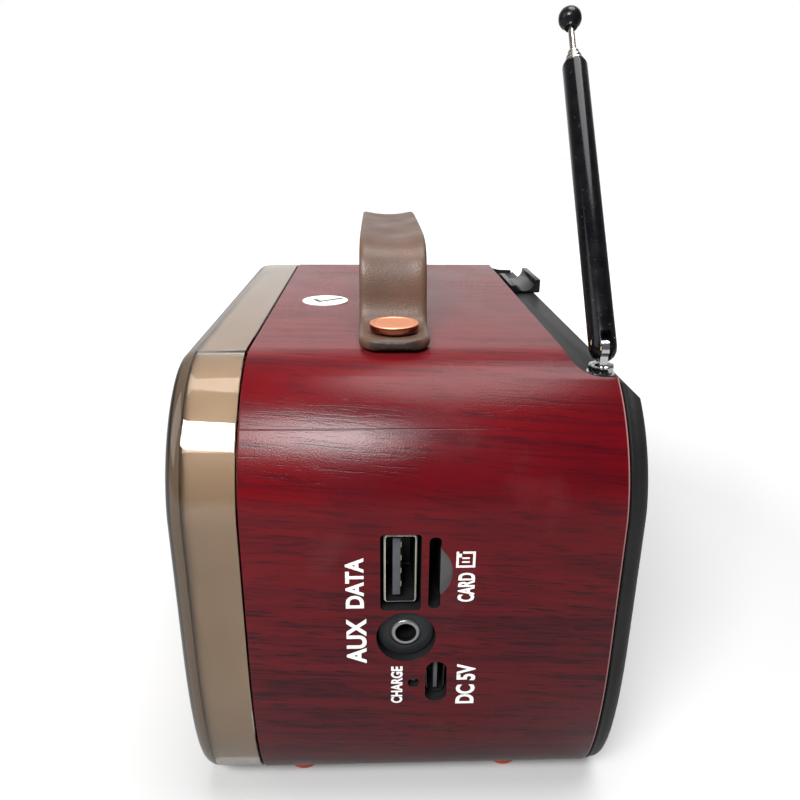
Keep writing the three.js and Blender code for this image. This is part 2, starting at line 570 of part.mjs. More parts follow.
const HEAD_SEAT = CASE_HEIGHT + STRAP.thickness + 2 * GAP;
const headTop = HEAD_SEAT + STRAP_BOLT.headHeight;
const boltEnd = CASE_HEIGHT - WALL - 5;
for (const [name, side] of [['right', 1], ['left', -1]]) {
  addPart(`strap_screw_${name}`, turnedAlongZ(
    [[0, boltEnd], [STRAP_BOLT.radius, boltEnd], [STRAP_BOLT.radius, HEAD_SEAT],
      [STRAP_BOLT.head, HEAD_SEAT], [STRAP_BOLT.head, headTop - GAP], [STRAP_BOLT.head - GAP, headTop],
      [0, headTop]],
    side * STRAP.screwX, STRAP.y, 24), 'copper');
}

function hexNut(x, y, top, height, bore, radius) {
  return turnedAlongZ(tubeProfile(bore, radius, top - height, top), x, y, 6);
}
for (const [name, side] of [['right', 1], ['left', -1]]) {
  const nut = hexNut(side * STRAP.screwX, STRAP.y, CASE_HEIGHT - WALL - GAP, 2.2, 2.1, 3.4);
  addPart(`strap_nut_${name}`, nut, 'steel');
}

// ---- Main board with the sockets that open through the side wall ----
const FRONT_OF_BOARD = BOARD.y0 - GAP;
const BACK_OF_BOARD = BOARD.y1 + GAP;

// The board with its soldered amplifier, charger chip and two smoothing capacitors.
function mainBoard() {
  return join(
    box(BOARD.x0, BOARD.x1, BOARD.y0, BOARD.y1, BOARD.z0, BOARD.z1),
    box(26, 36, BOARD.y0 + 0.5, BOARD.y1 + 1.5, 34, 44),
    box(40, 45, BOARD.y0 + 0.5, BOARD.y1 + 1.5, 24, 28),
    rod('y', 3.2, BOARD.y0 + 0.5, BOARD.y1 + 9, [24, 52], 16),
    rod('y', 3.2, BOARD.y0 + 0.5, BOARD.y1 + 9, [33, 52], 16),
  );
}
addPart('main_board', mainBoard(), 'circuitBoard');

function usbSocket() {
  const mouth = SIDE - 1.2;
  const [z0, z1] = [USB.z0 + 0.6, USB.z1 - 0.6];
  const y0 = FRONT_OF_BOARD - 5.9;
  const can = box(mouth - 14, mouth, y0, FRONT_OF_BOARD, z0, z1);
  const hollow = box(mouth - 12, mouth + 1, y0 + 0.5, FRONT_OF_BOARD - 0.5, z0 + 0.5, z1 - 0.5);
  const tongue = box(mouth - 12.5, mouth - 1, y0 + 1.7, y0 + 3.2, z0 + 1, z1 - 1);
  return join(cut(can, hollow), tongue);
}
addPart('usb_socket', usbSocket(), 'steel');

function auxJack() {
  const face = SIDE - 1.2;
  const y0 = AUX.y - 2.8;
  const block = box(face - 13, face - 0.5, y0, FRONT_OF_BOARD, AUX.z - 3, AUX.z + 3);
  const faceDisc = rod('x', AUX.recess - GAP, face - 1, face, [AUX.y, AUX.z], 32);
  const bore = rod('x', AUX.jack, face - 11, face + 1, [AUX.y, AUX.z], 16);
  return cut(join(block, faceDisc), bore);
}
addPart('aux_jack', auxJack(), 'blackPlastic');

function cardSocket() {
  const mouth = SIDE - WALL - 0.4;
  const y1 = BACK_OF_BOARD + 2;
  const can = box(mouth - 14, mouth, BACK_OF_BOARD, y1, CARD.z0 - 0.4, CARD.z1 + 0.4);
  const slot = box(mouth - 13, mouth + 1, BACK_OF_BOARD + 0.4, y1 - 0.5, CARD.z0 + 0.8, CARD.z1 - 0.8);
  return cut(can, slot);
}
addPart('card_socket', cardSocket(), 'steel');

// A straight-sided shape with round ends, upright in the YZ plane, extruded along X.
function uprightStadium(x0, x1, y, z0, z1, radius) {
  return join(
    box(x0, x1, y - radius, y + radius, z0 + radius, z1 - radius),
    rod('x', radius, x0, x1, [y, z0 + radius], 16),
    rod('x', radius, x0, x1, [y, z1 - radius], 16),
  );
}

function usbCSocket() {
  const mouth = SIDE - 1;
  const y = BACK_OF_BOARD + 1.6;
  const [z0, z1] = [USB_C.z0 + GAP, USB_C.z1 - GAP];
  const can = uprightStadium(mouth - 8, mouth, y, z0, z1, 1.55);
  const hollow = uprightStadium(mouth - 6.5, mouth + 1, y, z0 + 0.35, z1 - 0.35, 1.2);
  const tongue = box(mouth - 7, mouth - 0.6, y - 0.35, y + 0.35, z0 + 1.4, z1 - 1.4);
  return join(cut(can, hollow), tongue);
}
addPart('usb_c_socket', usbCSocket(), 'steel');

addPart('charge_led', turnedAlongY(
  [[0, 0], [0.7, 0], [0.7, 6], [0.45, 6.5], [0, 6.6]], 0, 0, 10)
  .rotateZ(-Math.PI / 2).translate(SIDE - 7.4, LED.y, LED.z), 'cream');

addPart('battery', turnedAlongY(
  [[0, 0], [3, 0], [3, 1], [9, 1], [9.2, 1.5], [9.2, 64.5], [9, 65], [0, 65]], 0, 0, 24)
  .rotateZ(-Math.PI / 2).translate(-38, 46, 13.5), 'batteryWrap');

// ---- Antenna: swivelling base, elbow, outer tube and telescoping sections ----
const BALL = { radius: 2.2, z: 80.2 };
const TONGUE = { half: 0.65, radius: 1.7, hole: 0.75 };

function antennaBase() {
  const stem = turnedAlongZ(
    [[0, SHELF.floor - 5], [PIVOT.bolt, SHELF.floor - 5], [PIVOT.bolt, SHELF.z + GAP],
      [BALL.radius + 0.2, SHELF.z + GAP],
      [BALL.radius, BALL.z - 0.9], [BALL.radius, BALL.z - 0.1], [1.3, PIVOT.z - 2.9], [0, PIVOT.z - 2.7]],
    PIVOT.x, PIVOT.y, 16);
  const faces = [PIVOT.y - TONGUE.half, PIVOT.y + TONGUE.half];
  const tongueEye = rod('y', TONGUE.radius, ...faces, [PIVOT.x, PIVOT.z], 16);
  const tongueRoot = box(PIVOT.x - TONGUE.radius, PIVOT.x + TONGUE.radius, ...faces, BALL.z - 0.3, PIVOT.z);
  const eye = rod('y', TONGUE.hole, PIVOT.y - 3, PIVOT.y + 3, [PIVOT.x, PIVOT.z], 12);
  return cut(join(stem, tongueEye, tongueRoot), eye);
}
addPart('antenna_base', antennaBase(), 'chrome');
addPart('antenna_nut', hexNut(PIVOT.x, PIVOT.y, SHELF.floor - GAP, 2, PIVOT.hole, 3), 'steel');

// The raised part is built standing on +Z at the elbow and leaned over as one group.
const raised = new THREE.Group();
raised.position.set(PIVOT.x, PIVOT.y, PIVOT.z);
raised.rotation.y = THREE.MathUtils.degToRad(PIVOT.lift - 90);
radio.add(raised);

const TUBE = { radius: 2.35, bore: 2.0, length: 57.5, floor: 6 };
function antennaTube() {
  const barrel = turnedAlongZ(
    [[0, -2.3], [1.3, -2.0], [2.1, -1.1], [TUBE.radius, 0.2], [TUBE.radius, TUBE.length],
      [TUBE.bore, TUBE.length], [TUBE.bore, TUBE.floor], [0, TUBE.floor]],
    0, 0, 20);
  const fork = box(-3, 3, -TONGUE.half - 0.25, TONGUE.half + 0.25, -3, 3.6);
  const pinHole = rod('y', TONGUE.hole, -3, 3, [0, 0], 12);
  return cut(barrel, fork, pinHole);
}
addPart('antenna_tube', antennaTube(), 'lacquer', raised);
addPart('antenna_pin', rod('y', 0.5, -2.2, 2.2, [0, 0], 12), 'chrome', raised);

// Each section slides in the one outside it and shows a short step above it when pushed in.
const SECTIONS = [
  { name: 'antenna_section_1', radius: 1.85, bore: 1.6 },
  { name: 'antenna_section_2', radius: 1.45, bore: 1.2 },
  { name: 'antenna_section_3', radius: 1.05, bore: 0.8 },
];
const STEP = 1.1;
SECTIONS.forEach(({ name, radius, bore }, index) => {
  const top = TUBE.length + STEP * (index + 1);
  const bottom = TUBE.floor + 0.8 * (index + 1);
  const profile = [[0, bottom], [radius, bottom], [radius, top - 0.3], [radius - 0.15, top], [bore, top],
    [bore, bottom + 0.5], [0, bottom + 0.5]];
  addPart(name, turnedAlongZ(profile, 0, 0, 16), 'chrome', raised);
});
const ROD_RADIUS = 0.6;
const TIP = { radius: 2.25, z: 68.6 };
addPart('antenna_rod', rod('z', ROD_RADIUS, TUBE.floor + 8, TIP.z - 1.6, [0, 0], 12), 'chrome', raised);
addPart('antenna_tip', turnedAlongZ(
  [[0, TIP.z - 1.3], [0.9, TIP.z - 1.3], [0.9, TIP.z - 2.4], [1.3, TIP.z - 2.4], [1.5, TIP.z - 1.6],
    [TIP.radius, TIP.z - 0.8], [TIP.radius, TIP.z + 0.5], [1.5, TIP.z + 1.6], [0, TIP.z + 2]],
  0, 0, 16), 'lacquer', raised);

// The origin is under the middle of the whole radio, on the surface that the feet stand on.
radio.position.set(0, -(KNOB.front + BACK_FACE) / 2, FOOT.height);

export default radio;
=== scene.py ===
import json
import math

import bpy
from mathutils import Matrix, Vector

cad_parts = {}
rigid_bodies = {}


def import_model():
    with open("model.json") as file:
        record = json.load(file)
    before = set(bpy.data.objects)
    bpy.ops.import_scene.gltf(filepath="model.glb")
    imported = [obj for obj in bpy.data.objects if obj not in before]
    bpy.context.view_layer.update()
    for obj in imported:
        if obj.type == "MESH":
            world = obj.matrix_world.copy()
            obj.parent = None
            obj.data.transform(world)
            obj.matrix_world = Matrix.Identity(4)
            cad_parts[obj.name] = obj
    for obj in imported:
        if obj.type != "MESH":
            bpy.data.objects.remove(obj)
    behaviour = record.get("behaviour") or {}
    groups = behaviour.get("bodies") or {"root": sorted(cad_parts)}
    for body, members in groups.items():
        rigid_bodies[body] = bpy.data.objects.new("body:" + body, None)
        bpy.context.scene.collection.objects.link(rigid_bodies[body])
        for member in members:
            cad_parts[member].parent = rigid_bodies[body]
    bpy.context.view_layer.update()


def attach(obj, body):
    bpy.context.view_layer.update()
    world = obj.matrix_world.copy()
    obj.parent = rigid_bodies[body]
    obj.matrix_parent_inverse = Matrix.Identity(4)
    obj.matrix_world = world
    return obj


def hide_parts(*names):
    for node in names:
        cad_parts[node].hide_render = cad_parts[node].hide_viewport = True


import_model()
MM = 0.001

# ---- Camera ----
# A short lens close to the socket end, a little above the case and looking down on it.
camera_data = bpy.data.cameras.new("camera")
camera_data.sensor_width = 36
camera_data.lens = 32.17
camera_data.dof.use_dof = False
camera = bpy.data.objects.new("camera", camera_data)
bpy.context.collection.objects.link(camera)
camera.location = Vector((161.4, -2.9, 118.8)) * MM
CAMERA_YAW = 0.035
CAMERA_PITCH = 0.354
CAMERA_ROLL = 0.007
looking = Vector((
    -math.cos(CAMERA_PITCH) * math.cos(CAMERA_YAW),
    math.cos(CAMERA_PITCH) * math.sin(CAMERA_YAW),
    -math.sin(CAMERA_PITCH),
))
roll = Matrix.Rotation(CAMERA_ROLL, 3, "Z")
camera.rotation_mode = "QUATERNION"
camera.rotation_quaternion = (looking.to_track_quat("-Z", "Y").to_matrix() @ roll).to_quaternion()
bpy.context.scene.camera = camera
bpy.context.scene.view_settings.view_transform = "Standard"

# ---- Moulded case shell ----
# A tube of ABS, open at the front and back, its top rear edge cut away for the folded antenna.
# A red rosewood-grain film is wrapped round it and butted along a seam near the top of the socket end.
CASE_HALF = 62.45
CASE_FOOT = 2.2
CASE_TOP = 84.4
SHELL_FRONT = -24.75
SHELL_REAR = 37.25
SHELL_WALL = 2.5
TOP_CORNER = (20.3, 23.9, 1.79)
BOTTOM_CORNER = (11.7, 34.2, 2.2)
CORNER_STEPS = 22
NOTCH_FRONT = 29.45
NOTCH_FLAT = 42.6
NOTCH_END = 50.4
SHELF_TOP = 80.8
SIDE_DEPTH = (CASE_HALF - 7, CASE_HALF + 1)
USB_HOLE = (-2.45, 4.25, 45.0, 59.4)
CARD_HOLE = (5.45, 7.45, 45.4, 58.8)
USB_C_HOLE = (5.15, 9.15, 25.6, 34.6)
AUX_CENTRE = (1.85, 39.6)
AUX_RADIUS = 5.0
LED_CENTRE = (3.25, 29.9)
STRAP_Y = 0.25
STRAP_SCREW_X = 40
SEAM_HEIGHT = 75.3
SEAM_FADE = 24


def quarter(width, height, power, rising):
    """Steps along one superellipse corner, as (how far in from the side, how far from the end)."""
    for step in range(CORNER_STEPS + 1):
        angle = step / CORNER_STEPS * math.pi / 2
        if not rising:
            angle = math.pi / 2 - angle
        across = math.sin(angle) ** (2 / power)
        along = math.cos(angle) ** (2 / power)
        yield width * (1 - across), height * (1 - along)


def case_outline(inset, y):
    """The case seen from the front, moved inwards by inset, as a ring of points at y."""
    right = [(CASE_HALF - w, CASE_FOOT + h) for w, h in quarter(*BOTTOM_CORNER, True)]
    right += [(CASE_HALF - w, CASE_TOP - h) for w, h in quarter(*TOP_CORNER, False)]
    full = right + [(-x, z) for x, z in reversed(right)]
    points = []
    for index, (x, z) in enumerate(full):
        before = Vector(full[index - 1])
        after = Vector(full[(index + 1) % len(full)])
        along = (after - before).normalized()
        points.append(Vector((x - along.y * inset, y, z + along.x * inset)) * MM)
    return points


def spot(point):
    """A point rounded to a tenth of a micrometre, so that points can be matched."""
    return tuple(round(c, 7) for c in point)


def place_ring(piece, ring, start):
    """Moves the piece's selected vertices from the ring where they lie to the next one."""
    lookup = {spot(point): index for index, point in enumerate(start)}
    for vertex in piece.data.vertices:
        if vertex.select:
            vertex.co = ring[lookup[spot(vertex.co)]]


def loft(name, rings):
    """A closed solid through rings of points: a circle on the first, extruded to each next one."""
    count = len(rings[0])
    bpy.ops.mesh.primitive_circle_add(vertices=count, radius=1, fill_type="NOTHING")
    piece = bpy.context.object
    piece.name = name
    for vertex, point in zip(piece.data.vertices, rings[0]):
        vertex.co = point
    bpy.ops.object.mode_set(mode="EDIT")
    bpy.ops.mesh.select_all(action="SELECT")
    bpy.ops.mesh.edge_face_add()
    for start, ring in zip(rings, rings[1:]):
        bpy.ops.mesh.select_mode(type="VERT")
        bpy.ops.object.mode_set(mode="OBJECT")
        chosen = {spot(point) for point in start}
        for vertex in piece.data.vertices:
            vertex.select = spot(vertex.co) in chosen
        bpy.ops.object.mode_set(mode="EDIT")
        bpy.ops.mesh.select_mode(type="EDGE")
        bpy.ops.mesh.extrude_edges_move()
        bpy.ops.object.mode_set(mode="OBJECT")
        place_ring(piece, ring, start)
        bpy.ops.object.mode_set(mode="EDIT")
    bpy.ops.mesh.edge_face_add()
    bpy.ops.mesh.select_all(action="SELECT")
    bpy.ops.mesh.normals_make_consistent(inside=False)
    bpy.ops.object.mode_set(mode="OBJECT")
    return piece


def pick(piece):
    """Makes the piece the only selected one and the active one."""
    bpy.ops.object.select_all(action="DESELECT")
    bpy.context.view_layer.objects.active = piece
    piece.select_set(True)


def apply_all(piece):
    """Applies every modifier and the piece's place, turn and size."""
    pick(piece)
    for modifier in list(piece.modifiers):
        bpy.ops.object.modifier_apply(modifier=modifier.name)
    bpy.ops.object.transform_apply(location=True, rotation=True, scale=True)


def block(name, x, y, z, rounding=0, segments=4):
    """A box between pairs of millimetre places, its edges rounded by a bevel."""
    middle = [(a + b) / 2 * MM for a, b in (x, y, z)]
    bpy.ops.mesh.primitive_cube_add(size=1, location=middle)
    piece = bpy.context.object
    piece.name = name
    piece.scale = [(b - a) * MM for a, b in (x, y, z)]
    apply_all(piece)
    if rounding:
        soften(piece, rounding, segments)
    return piece


def soften(piece, width, segments=3, angle=30):
    """Rounds the edges of a piece that are sharper than the angle."""
    bevel = piece.modifiers.new("soften", "BEVEL")
    bevel.width = width * MM
    bevel.segments = segments
    bevel.limit_method = "ANGLE"
    bevel.angle_limit = math.radians(angle)
    apply_all(piece)


TURNS = {"x": (0, math.pi / 2, 0), "y": (math.pi / 2, 0, 0), "z": (0, 0, 0)}


def rod(name, axis, radius, start, end, centre, segments=48):
    """A cylinder between two places on an axis; centre gives the two other coordinates."""
    place = list(centre)
    place.insert("xyz".index(axis), (start + end) / 2)
    bpy.ops.mesh.primitive_cylinder_add(
        vertices=segments, radius=radius * MM, depth=(end - start) * MM,
        location=[c * MM for c in place], rotation=TURNS[axis])
    piece = bpy.context.object
    piece.name = name
    apply_all(piece)
    return piece


def carve(piece, *cutters, operation="DIFFERENCE"):
    """Cuts each cutter out of the piece and removes the cutter."""
    for cutter in cutters:
        boolean = piece.modifiers.new("carve", "BOOLEAN")
        boolean.operation = operation
        boolean.object = cutter
        boolean.solver = "EXACT"
        boolean.material_mode = "TRANSFER"
        apply_all(piece)
        bpy.data.objects.remove(cutter, do_unlink=True)
    return piece


def bezier(first, first_pull, last_pull, last, steps):
    """Points along a cubic curve, both ends counted."""
    ends = [Vector(p) for p in (first, first_pull, last_pull, last)]
    for step in range(steps + 1):
        t = step / steps
        weights = ((1 - t) ** 3, 3 * t * (1 - t) ** 2, 3 * t * t * (1 - t), t ** 3)
        yield sum((w * p for w, p in zip(weights, ends)), Vector((0, 0)))


def wire(tree, kind, settings=None, sockets=None):
    """A node with its settings, its sockets given a value or a link from another socket."""
    made = tree.nodes.new(kind)
    for key, value in (settings or {}).items():
        setattr(made, key, value)
    for key, value in (sockets or {}).items():
        if isinstance(value, bpy.types.NodeSocket):
            tree.links.new(value, made.inputs[key])
        else:
            made.inputs[key].default_value = value
    return made


def math_node(tree, operation, *values):
    return wire(tree, "ShaderNodeMath", {"operation": operation}, dict(enumerate(values))).outputs[0]


def mix_colour(tree, factor, first, second):
    sockets = {"Factor": factor, "A": first, "B": second}
    made = wire(tree, "ShaderNodeMix", {"data_type": "RGBA"})
    for key, value in sockets.items():
        kind = "VALUE" if key == "Factor" else "RGBA"
        socket = next(s for s in made.inputs if s.name == key and s.type == kind)
        if isinstance(value, bpy.types.NodeSocket):
            tree.links.new(value, socket)
        else:
            socket.default_value = value if key == "Factor" else (*value, 1)
    return next(s for s in made.outputs if s.type == "RGBA")


def spread(tree, value, low, high, to_low=0.0, to_high=1.0):
    """Stretches a stretch of a value to a new one, held at both ends."""
    sockets = {0: value, 1: low, 2: high, 3: to_low, 4: to_high}
    return wire(tree, "ShaderNodeMapRange", {"clamp": True}, sockets).outputs[0]


def make_surface_group():
    """Slow blotches and a fine even speckle, both 0 to 1, sized in millimetres on Object coordinates."""
    group = bpy.data.node_groups.new("surface_variation", "ShaderNodeTree")
    for name, value in (("Blotch Size", 8.0), ("Speckle Size", 0.3)):
        socket = group.interface.new_socket(name, in_out="INPUT", socket_type="NodeSocketFloat")
        socket.default_value = value
    for name in ("Blotch", "Speckle"):
        group.interface.new_socket(name, in_out="OUTPUT", socket_type="NodeSocketFloat")
    given = group.nodes.new("NodeGroupInput")
    result = group.nodes.new("NodeGroupOutput")
    place = wire(group, "ShaderNodeTexCoord").outputs["Object"]
    for size, output, detail in (("Blotch Size", "Blotch", 5.0), ("Speckle Size", "Speckle", 2.0)):
        scale = math_node(group, "DIVIDE", 1000.0, given.outputs[size])
        sockets = {"Vector": place, "Scale": scale, "Detail": detail}
        pattern = wire(group, "ShaderNodeTexNoise", None, sockets)
        group.links.new(spread(group, pattern.outputs[0], 0.3, 0.7), result.inputs[output])
    return group


surface_group = make_surface_group()


def new_material(name):
    made = bpy.data.materials.new(name)
    made.use_nodes = True
    return made, made.node_tree, made.node_tree.nodes["Principled BSDF"]


def variation(tree, blotch, speckle):
    return wire(tree, "ShaderNodeGroup", {"node_tree": surface_group},
                {"Blotch Size": blotch, "Speckle Size": speckle})


def bump(tree, shader, height, depth):
    sockets = {"Height": height, "Distance": depth * MM, "Strength": 1.0}
    tree.links.new(wire(tree, "ShaderNodeBump", None, sockets).outputs[0], shader.inputs["Normal"])


def finish(name, light, dark, smooth, rough, blotch=10, speckle=0.3, depth=0.02, **plain):
    """A material whose colour and roughness drift a little over the piece, with a fine bump."""
    made, tree, shader = new_material(name)
    grain = variation(tree, blotch, speckle)
    tree.links.new(mix_colour(tree, grain.outputs["Blotch"], light, dark), shader.inputs["Base Color"])
    mottle = math_node(tree, "MULTIPLY_ADD", grain.outputs["Speckle"], 0.35, 0.0)
    uneven = math_node(tree, "MULTIPLY_ADD", grain.outputs["Blotch"], 0.65, mottle)
    tree.links.new(spread(tree, uneven, 0, 1, smooth, rough), shader.inputs["Roughness"])
    bump(tree, shader, grain.outputs["Speckle"], depth)
    for key, value in plain.items():
        shader.inputs[key.replace("_", " ")].default_value = value
    return made


def make_film():
    """Deep red printed grain: thin dark streaks running front to back, over a finely pebbled face."""
    made, tree, shader = new_material("rosewood_film")
    place = wire(tree, "ShaderNodeTexCoord").outputs["Object"]
    tilted = wire(tree, "ShaderNodeMapping", None,
                  {"Vector": place, "Rotation": (math.radians(4), 0, math.radians(3))}).outputs[0]
    long_grain, dashes = (
        wire(tree, "ShaderNodeMapping", None, {"Vector": tilted, "Scale": (fine, coarse, fine)}).outputs[0]
        for fine, coarse in ((1000, 40), (4200, 230)))
    bands = wire(tree, "ShaderNodeTexNoise", None,
                 {"Vector": long_grain, "Scale": 0.35, "Detail": 5.0, "Roughness": 0.6, "Distortion": 0.8})
    streaks = wire(tree, "ShaderNodeTexNoise", None, {"Vector": dashes, "Scale": 0.6, "Detail": 4.0})
    drift = wire(tree, "ShaderNodeTexNoise", None, {"Vector": place, "Scale": 38.0, "Detail": 3.0})
    band_mask = spread(tree, bands.outputs[0], 0.44, 0.62)
    streak_level = math_node(tree, "ADD", streaks.outputs[0], math_node(tree, "MULTIPLY", band_mask, 0.07))
    streak_mask = spread(tree, streak_level, 0.56, 0.66)
    axes = wire(tree, "ShaderNodeSeparateXYZ", None, {0: place}).outputs
    across, along, height = axes[0], axes[1], axes[2]
    # Painted shade: the red of the film darkens towards the bottom of the sides.
    low = spread(tree, height, 12 * MM, 62 * MM)
    red_with_painted_shade = mix_colour(tree, low, (0.060, 0.007, 0.011), (0.105, 0.002, 0.004))
    warm = mix_colour(tree, spread(tree, drift.outputs[0], 0.35, 0.7), red_with_painted_shade, (0.074, 0.002, 0.005))
    # Painted light: the flat top is painted a lighter red.
    painted_top_light = spread(tree, height, (CASE_TOP - 1) * MM, CASE_TOP * MM)
    top_with_painted_light = mix_colour(tree, painted_top_light, warm, (0.13, 0.012, 0.014))
    strength = spread(tree, height, 42 * MM, 66 * MM, 0.85, 0.42)
    bands_here = math_node(tree, "MULTIPLY", band_mask, strength)
    banded = mix_colour(tree, bands_here, top_with_painted_light, (0.036, 0.002, 0.005))
    streaks_here = math_node(tree, "MULTIPLY", streak_mask, strength)
    streaked = mix_colour(tree, streaks_here, banded, (0.02, 0.002, 0.004))
    grain = variation(tree, 16, 0.32)
    dust = math_node(tree, "MULTIPLY", spread(tree, grain.outputs["Blotch"], 0.75, 1.0), 0.03)
    dusty = mix_colour(tree, dust, streaked, (0.30, 0.16, 0.17))
    off_seam = math_node(tree, "ABSOLUTE", math_node(tree, "SUBTRACT", height, SEAM_HEIGHT * MM))
    near_front = spread(tree, along, 0.0, SEAM_FADE * MM, 1.0, 0.0)
    at_end = spread(tree, across, 49 * MM, 51 * MM)
    line = math_node(tree, "MULTIPLY", spread(tree, off_seam, 0.04 * MM, 0.12 * MM, 1.0, 0.0), near_front)
    seam = math_node(tree, "MULTIPLY", line, at_end)
    seamed = mix_colour(tree, seam, dusty, (0.03, 0.002, 0.004))
    rim = spread(tree, along, (SHELL_REAR - 0.4) * MM, (SHELL_REAR - 0.25) * MM)
    tree.links.new(mix_colour(tree, math_node(tree, "MULTIPLY", rim, 0.5), seamed, (0.5, 0.25, 0.25)),
                   shader.inputs["Base Color"])
    tree.links.new(spread(tree, grain.outputs["Blotch"], 0, 1, 0.19, 0.29), shader.inputs["Roughness"])
    pebble = wire(tree, "ShaderNodeTexVoronoi", None, {"Vector": place, "Scale": 5200.0})
    pores = math_node(tree, "MULTIPLY_ADD", streak_mask, -0.6, pebble.outputs["Distance"])
    relief = math_node(tree, "MULTIPLY_ADD", seam, -4.0, pores)
    bump(tree, shader, relief, 0.012)
    shader.inputs["Specular IOR Level"].default_value = 0.22
    return made


film = make_film()
black_plastic = finish("black_plastic", (0.008, 0.008, 0.009), (0.015, 0.015, 0.015),
                       0.34, 0.5, 9, 0.25, 0.02, Specular_IOR_Level=0.2)
grey_moulding = finish("grey_moulding", (0.075, 0.073, 0.072), (0.055, 0.054, 0.053),
                       0.4, 0.55, 6, 0.25, 0.02)


def with_material(piece, material):
    piece.data.materials.clear()
    piece.data.materials.append(material)
    return piece


def dress(piece, body, slot_name, *replaced, material=None, angle=35):
    """Gives a finished piece its material, smooth shading and moving body, and hides the CAD solids it
    replaces; the finish slot name is not used.
    """
    if material:
        with_material(piece, material)
    pick(piece)
    bpy.ops.object.shade_smooth_by_angle(angle=math.radians(angle))
    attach(piece, body)
    if replaced:
        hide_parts(*replaced)
    return piece


def notch_ring(z, shrink=0.0):
    """The cut-away edge from above, swinging out to the rear at both ends."""
    front, flat, end = NOTCH_FRONT + shrink, NOTCH_FLAT - shrink, NOTCH_END - shrink
    corner = bezier((end, SHELL_REAR - 2), (end, front + 0.5), (flat + 3, front), (flat, front), 12)
    swing = [(end, SHELL_REAR + 2), *((p.x, p.y) for p in corner)]
    return [Vector((x, y, z)) * MM for x, y in swing + [(-x, y) for x, y in reversed(swing)]]


def shell_piece():
    edges = ((0.35, 0), (0.1, 0.1), (0, 0.35))
    rings = [case_outline(inset, SHELL_FRONT + along) for inset, along in edges]
    rings += [case_outline(inset, SHELL_REAR - along) for inset, along in reversed(edges)]
    piece = loft("case_shell", rings)
    piece.data.materials.append(film)
    cutters = [
        loft("inside", [case_outline(SHELL_WALL, SHELL_FRONT - 1), case_outline(SHELL_WALL, SHELL_REAR + 1)]),
        loft("notch", [notch_ring(SHELF_TOP - 2.3), notch_ring(CASE_TOP + 2)]),
        block("usb_hole", SIDE_DEPTH, USB_HOLE[:2], USB_HOLE[2:], 0.7),
        block("card_hole", SIDE_DEPTH, CARD_HOLE[:2], CARD_HOLE[2:], 0.8),
        carve(rod("scoop", "x", 5.8, CASE_HALF - 1.2, CASE_HALF + 1, (CARD_HOLE[1] - 3.9, 52.3), 96),
              block("keep", (50, 70), (-10, CARD_HOLE[1] - 0.3), (40, 65))),
        block("usb_c_hole", SIDE_DEPTH, USB_C_HOLE[:2], USB_C_HOLE[2:], 1.9, 8),
        rod("aux_hole", "x", AUX_RADIUS, *SIDE_DEPTH, AUX_CENTRE, 64),
        rod("led_hole", "x", 1.0, *SIDE_DEPTH, LED_CENTRE, 24),
    ]
    cutters += [rod("strap_hole", "z", 1.9, CASE_TOP - 4, CASE_TOP + 1, (side * STRAP_SCREW_X, STRAP_Y), 24)
                for side in (-1, 1)]
    for cutter in cutters:
        with_material(cutter, grey_moulding if cutter.name == "scoop" else black_plastic)
    return carve(piece, *cutters)


dress(shell_piece(), "case", "rosewood_film", "shell")

# ---- Printed words and round paper seal ----
# White words screen-printed beside each socket, following the wall, read from bottom to top.
# A round paper seal with a printed tick is stuck on the front part of the top.
PRINT_LIFT = 0.05
white_print = finish("white_print", (0.86, 0.86, 0.84), (0.74, 0.74, 0.72), 0.45, 0.6, 3, 0.2, 0.01)
dark_print = finish("dark_print", (0.05, 0.05, 0.05), (0.09, 0.09, 0.09), 0.45, 0.6, 3, 0.2, 0.01)


def side_face(z):
    """How far out the socket end's wall stands at a height, in millimetres."""
    width, height, power = BOTTOM_CORNER
    down = max(0.0, 1 - (z - CASE_FOOT) / height)
    return CASE_HALF - width * (1 - (1 - down ** power) ** (1 / power))


def flat_word(text, thicken=0.02):
    """A word as a flat mesh lying on the floor plane at the origin."""
    bpy.ops.object.text_add()
    word = bpy.context.object
    word.data.body = text
    word.data.offset = thicken
    word.data.resolution_u = 4
    bpy.ops.object.convert(target="MESH")
    return bpy.context.object


def fit(piece, place):
    """Stretches a flat mesh to fill the unit square and sends each point through place."""
    points = [v.co.copy() for v in piece.data.vertices]
    lo = [min(p[i] for p in points) for i in (0, 1)]
    hi = [max(p[i] for p in points) for i in (0, 1)]
    for vertex, point in zip(piece.data.vertices, points):
        across, up = ((point[i] - lo[i]) / (hi[i] - lo[i]) for i in (0, 1))
        vertex.co = Vector(place(across, up)) * MM
    apply_all(piece)


def side_print(name, piece, y_top, y_foot, z_start, z_end):
    """Lays a flat mesh on the socket end, its tops towards the front and its words running upwards."""
    def place(across, up):
        z = z_start + (z_end - z_start) * across
        return side_face(z) + PRINT_LIFT, y_foot + (y_top - y_foot) * up, z
    fit(piece, place)
    piece.name = name
    dress(piece, "case", "rosewood_film", material=white_print)


for label, extent in {
    "AUX": (-8.15, -4.75, 34.4, 43.5),
    "DATA": (-8.15, -5.15, 45.6, 55.2),
    "CHARGE": (-0.65, 1.35, 25.3, 33.6),
    "DC 5V": (10.65, 13.95, 24.9, 33.9),
    "CARD": (10.25, 13.05, 46.6, 52.2),
}.items():
    side_print("print_" + label.lower().replace(" ", "_"), flat_word(label, 0.035), *extent)


def join_pieces(name, pieces):
    pick(pieces[0])
    for piece in pieces:
        piece.select_set(True)
    if len(pieces) > 1:
        bpy.ops.object.join()
    bpy.context.object.name = name
    return bpy.context.object


def flat_box(x0, x1, y0, y1):
    bpy.ops.mesh.primitive_plane_add(size=1, location=((x0 + x1) / 2, (y0 + y1) / 2, 0))
    bpy.context.object.scale = (x1 - x0, y1 - y0, 1)
    apply_all(bpy.context.object)
    return bpy.context.object


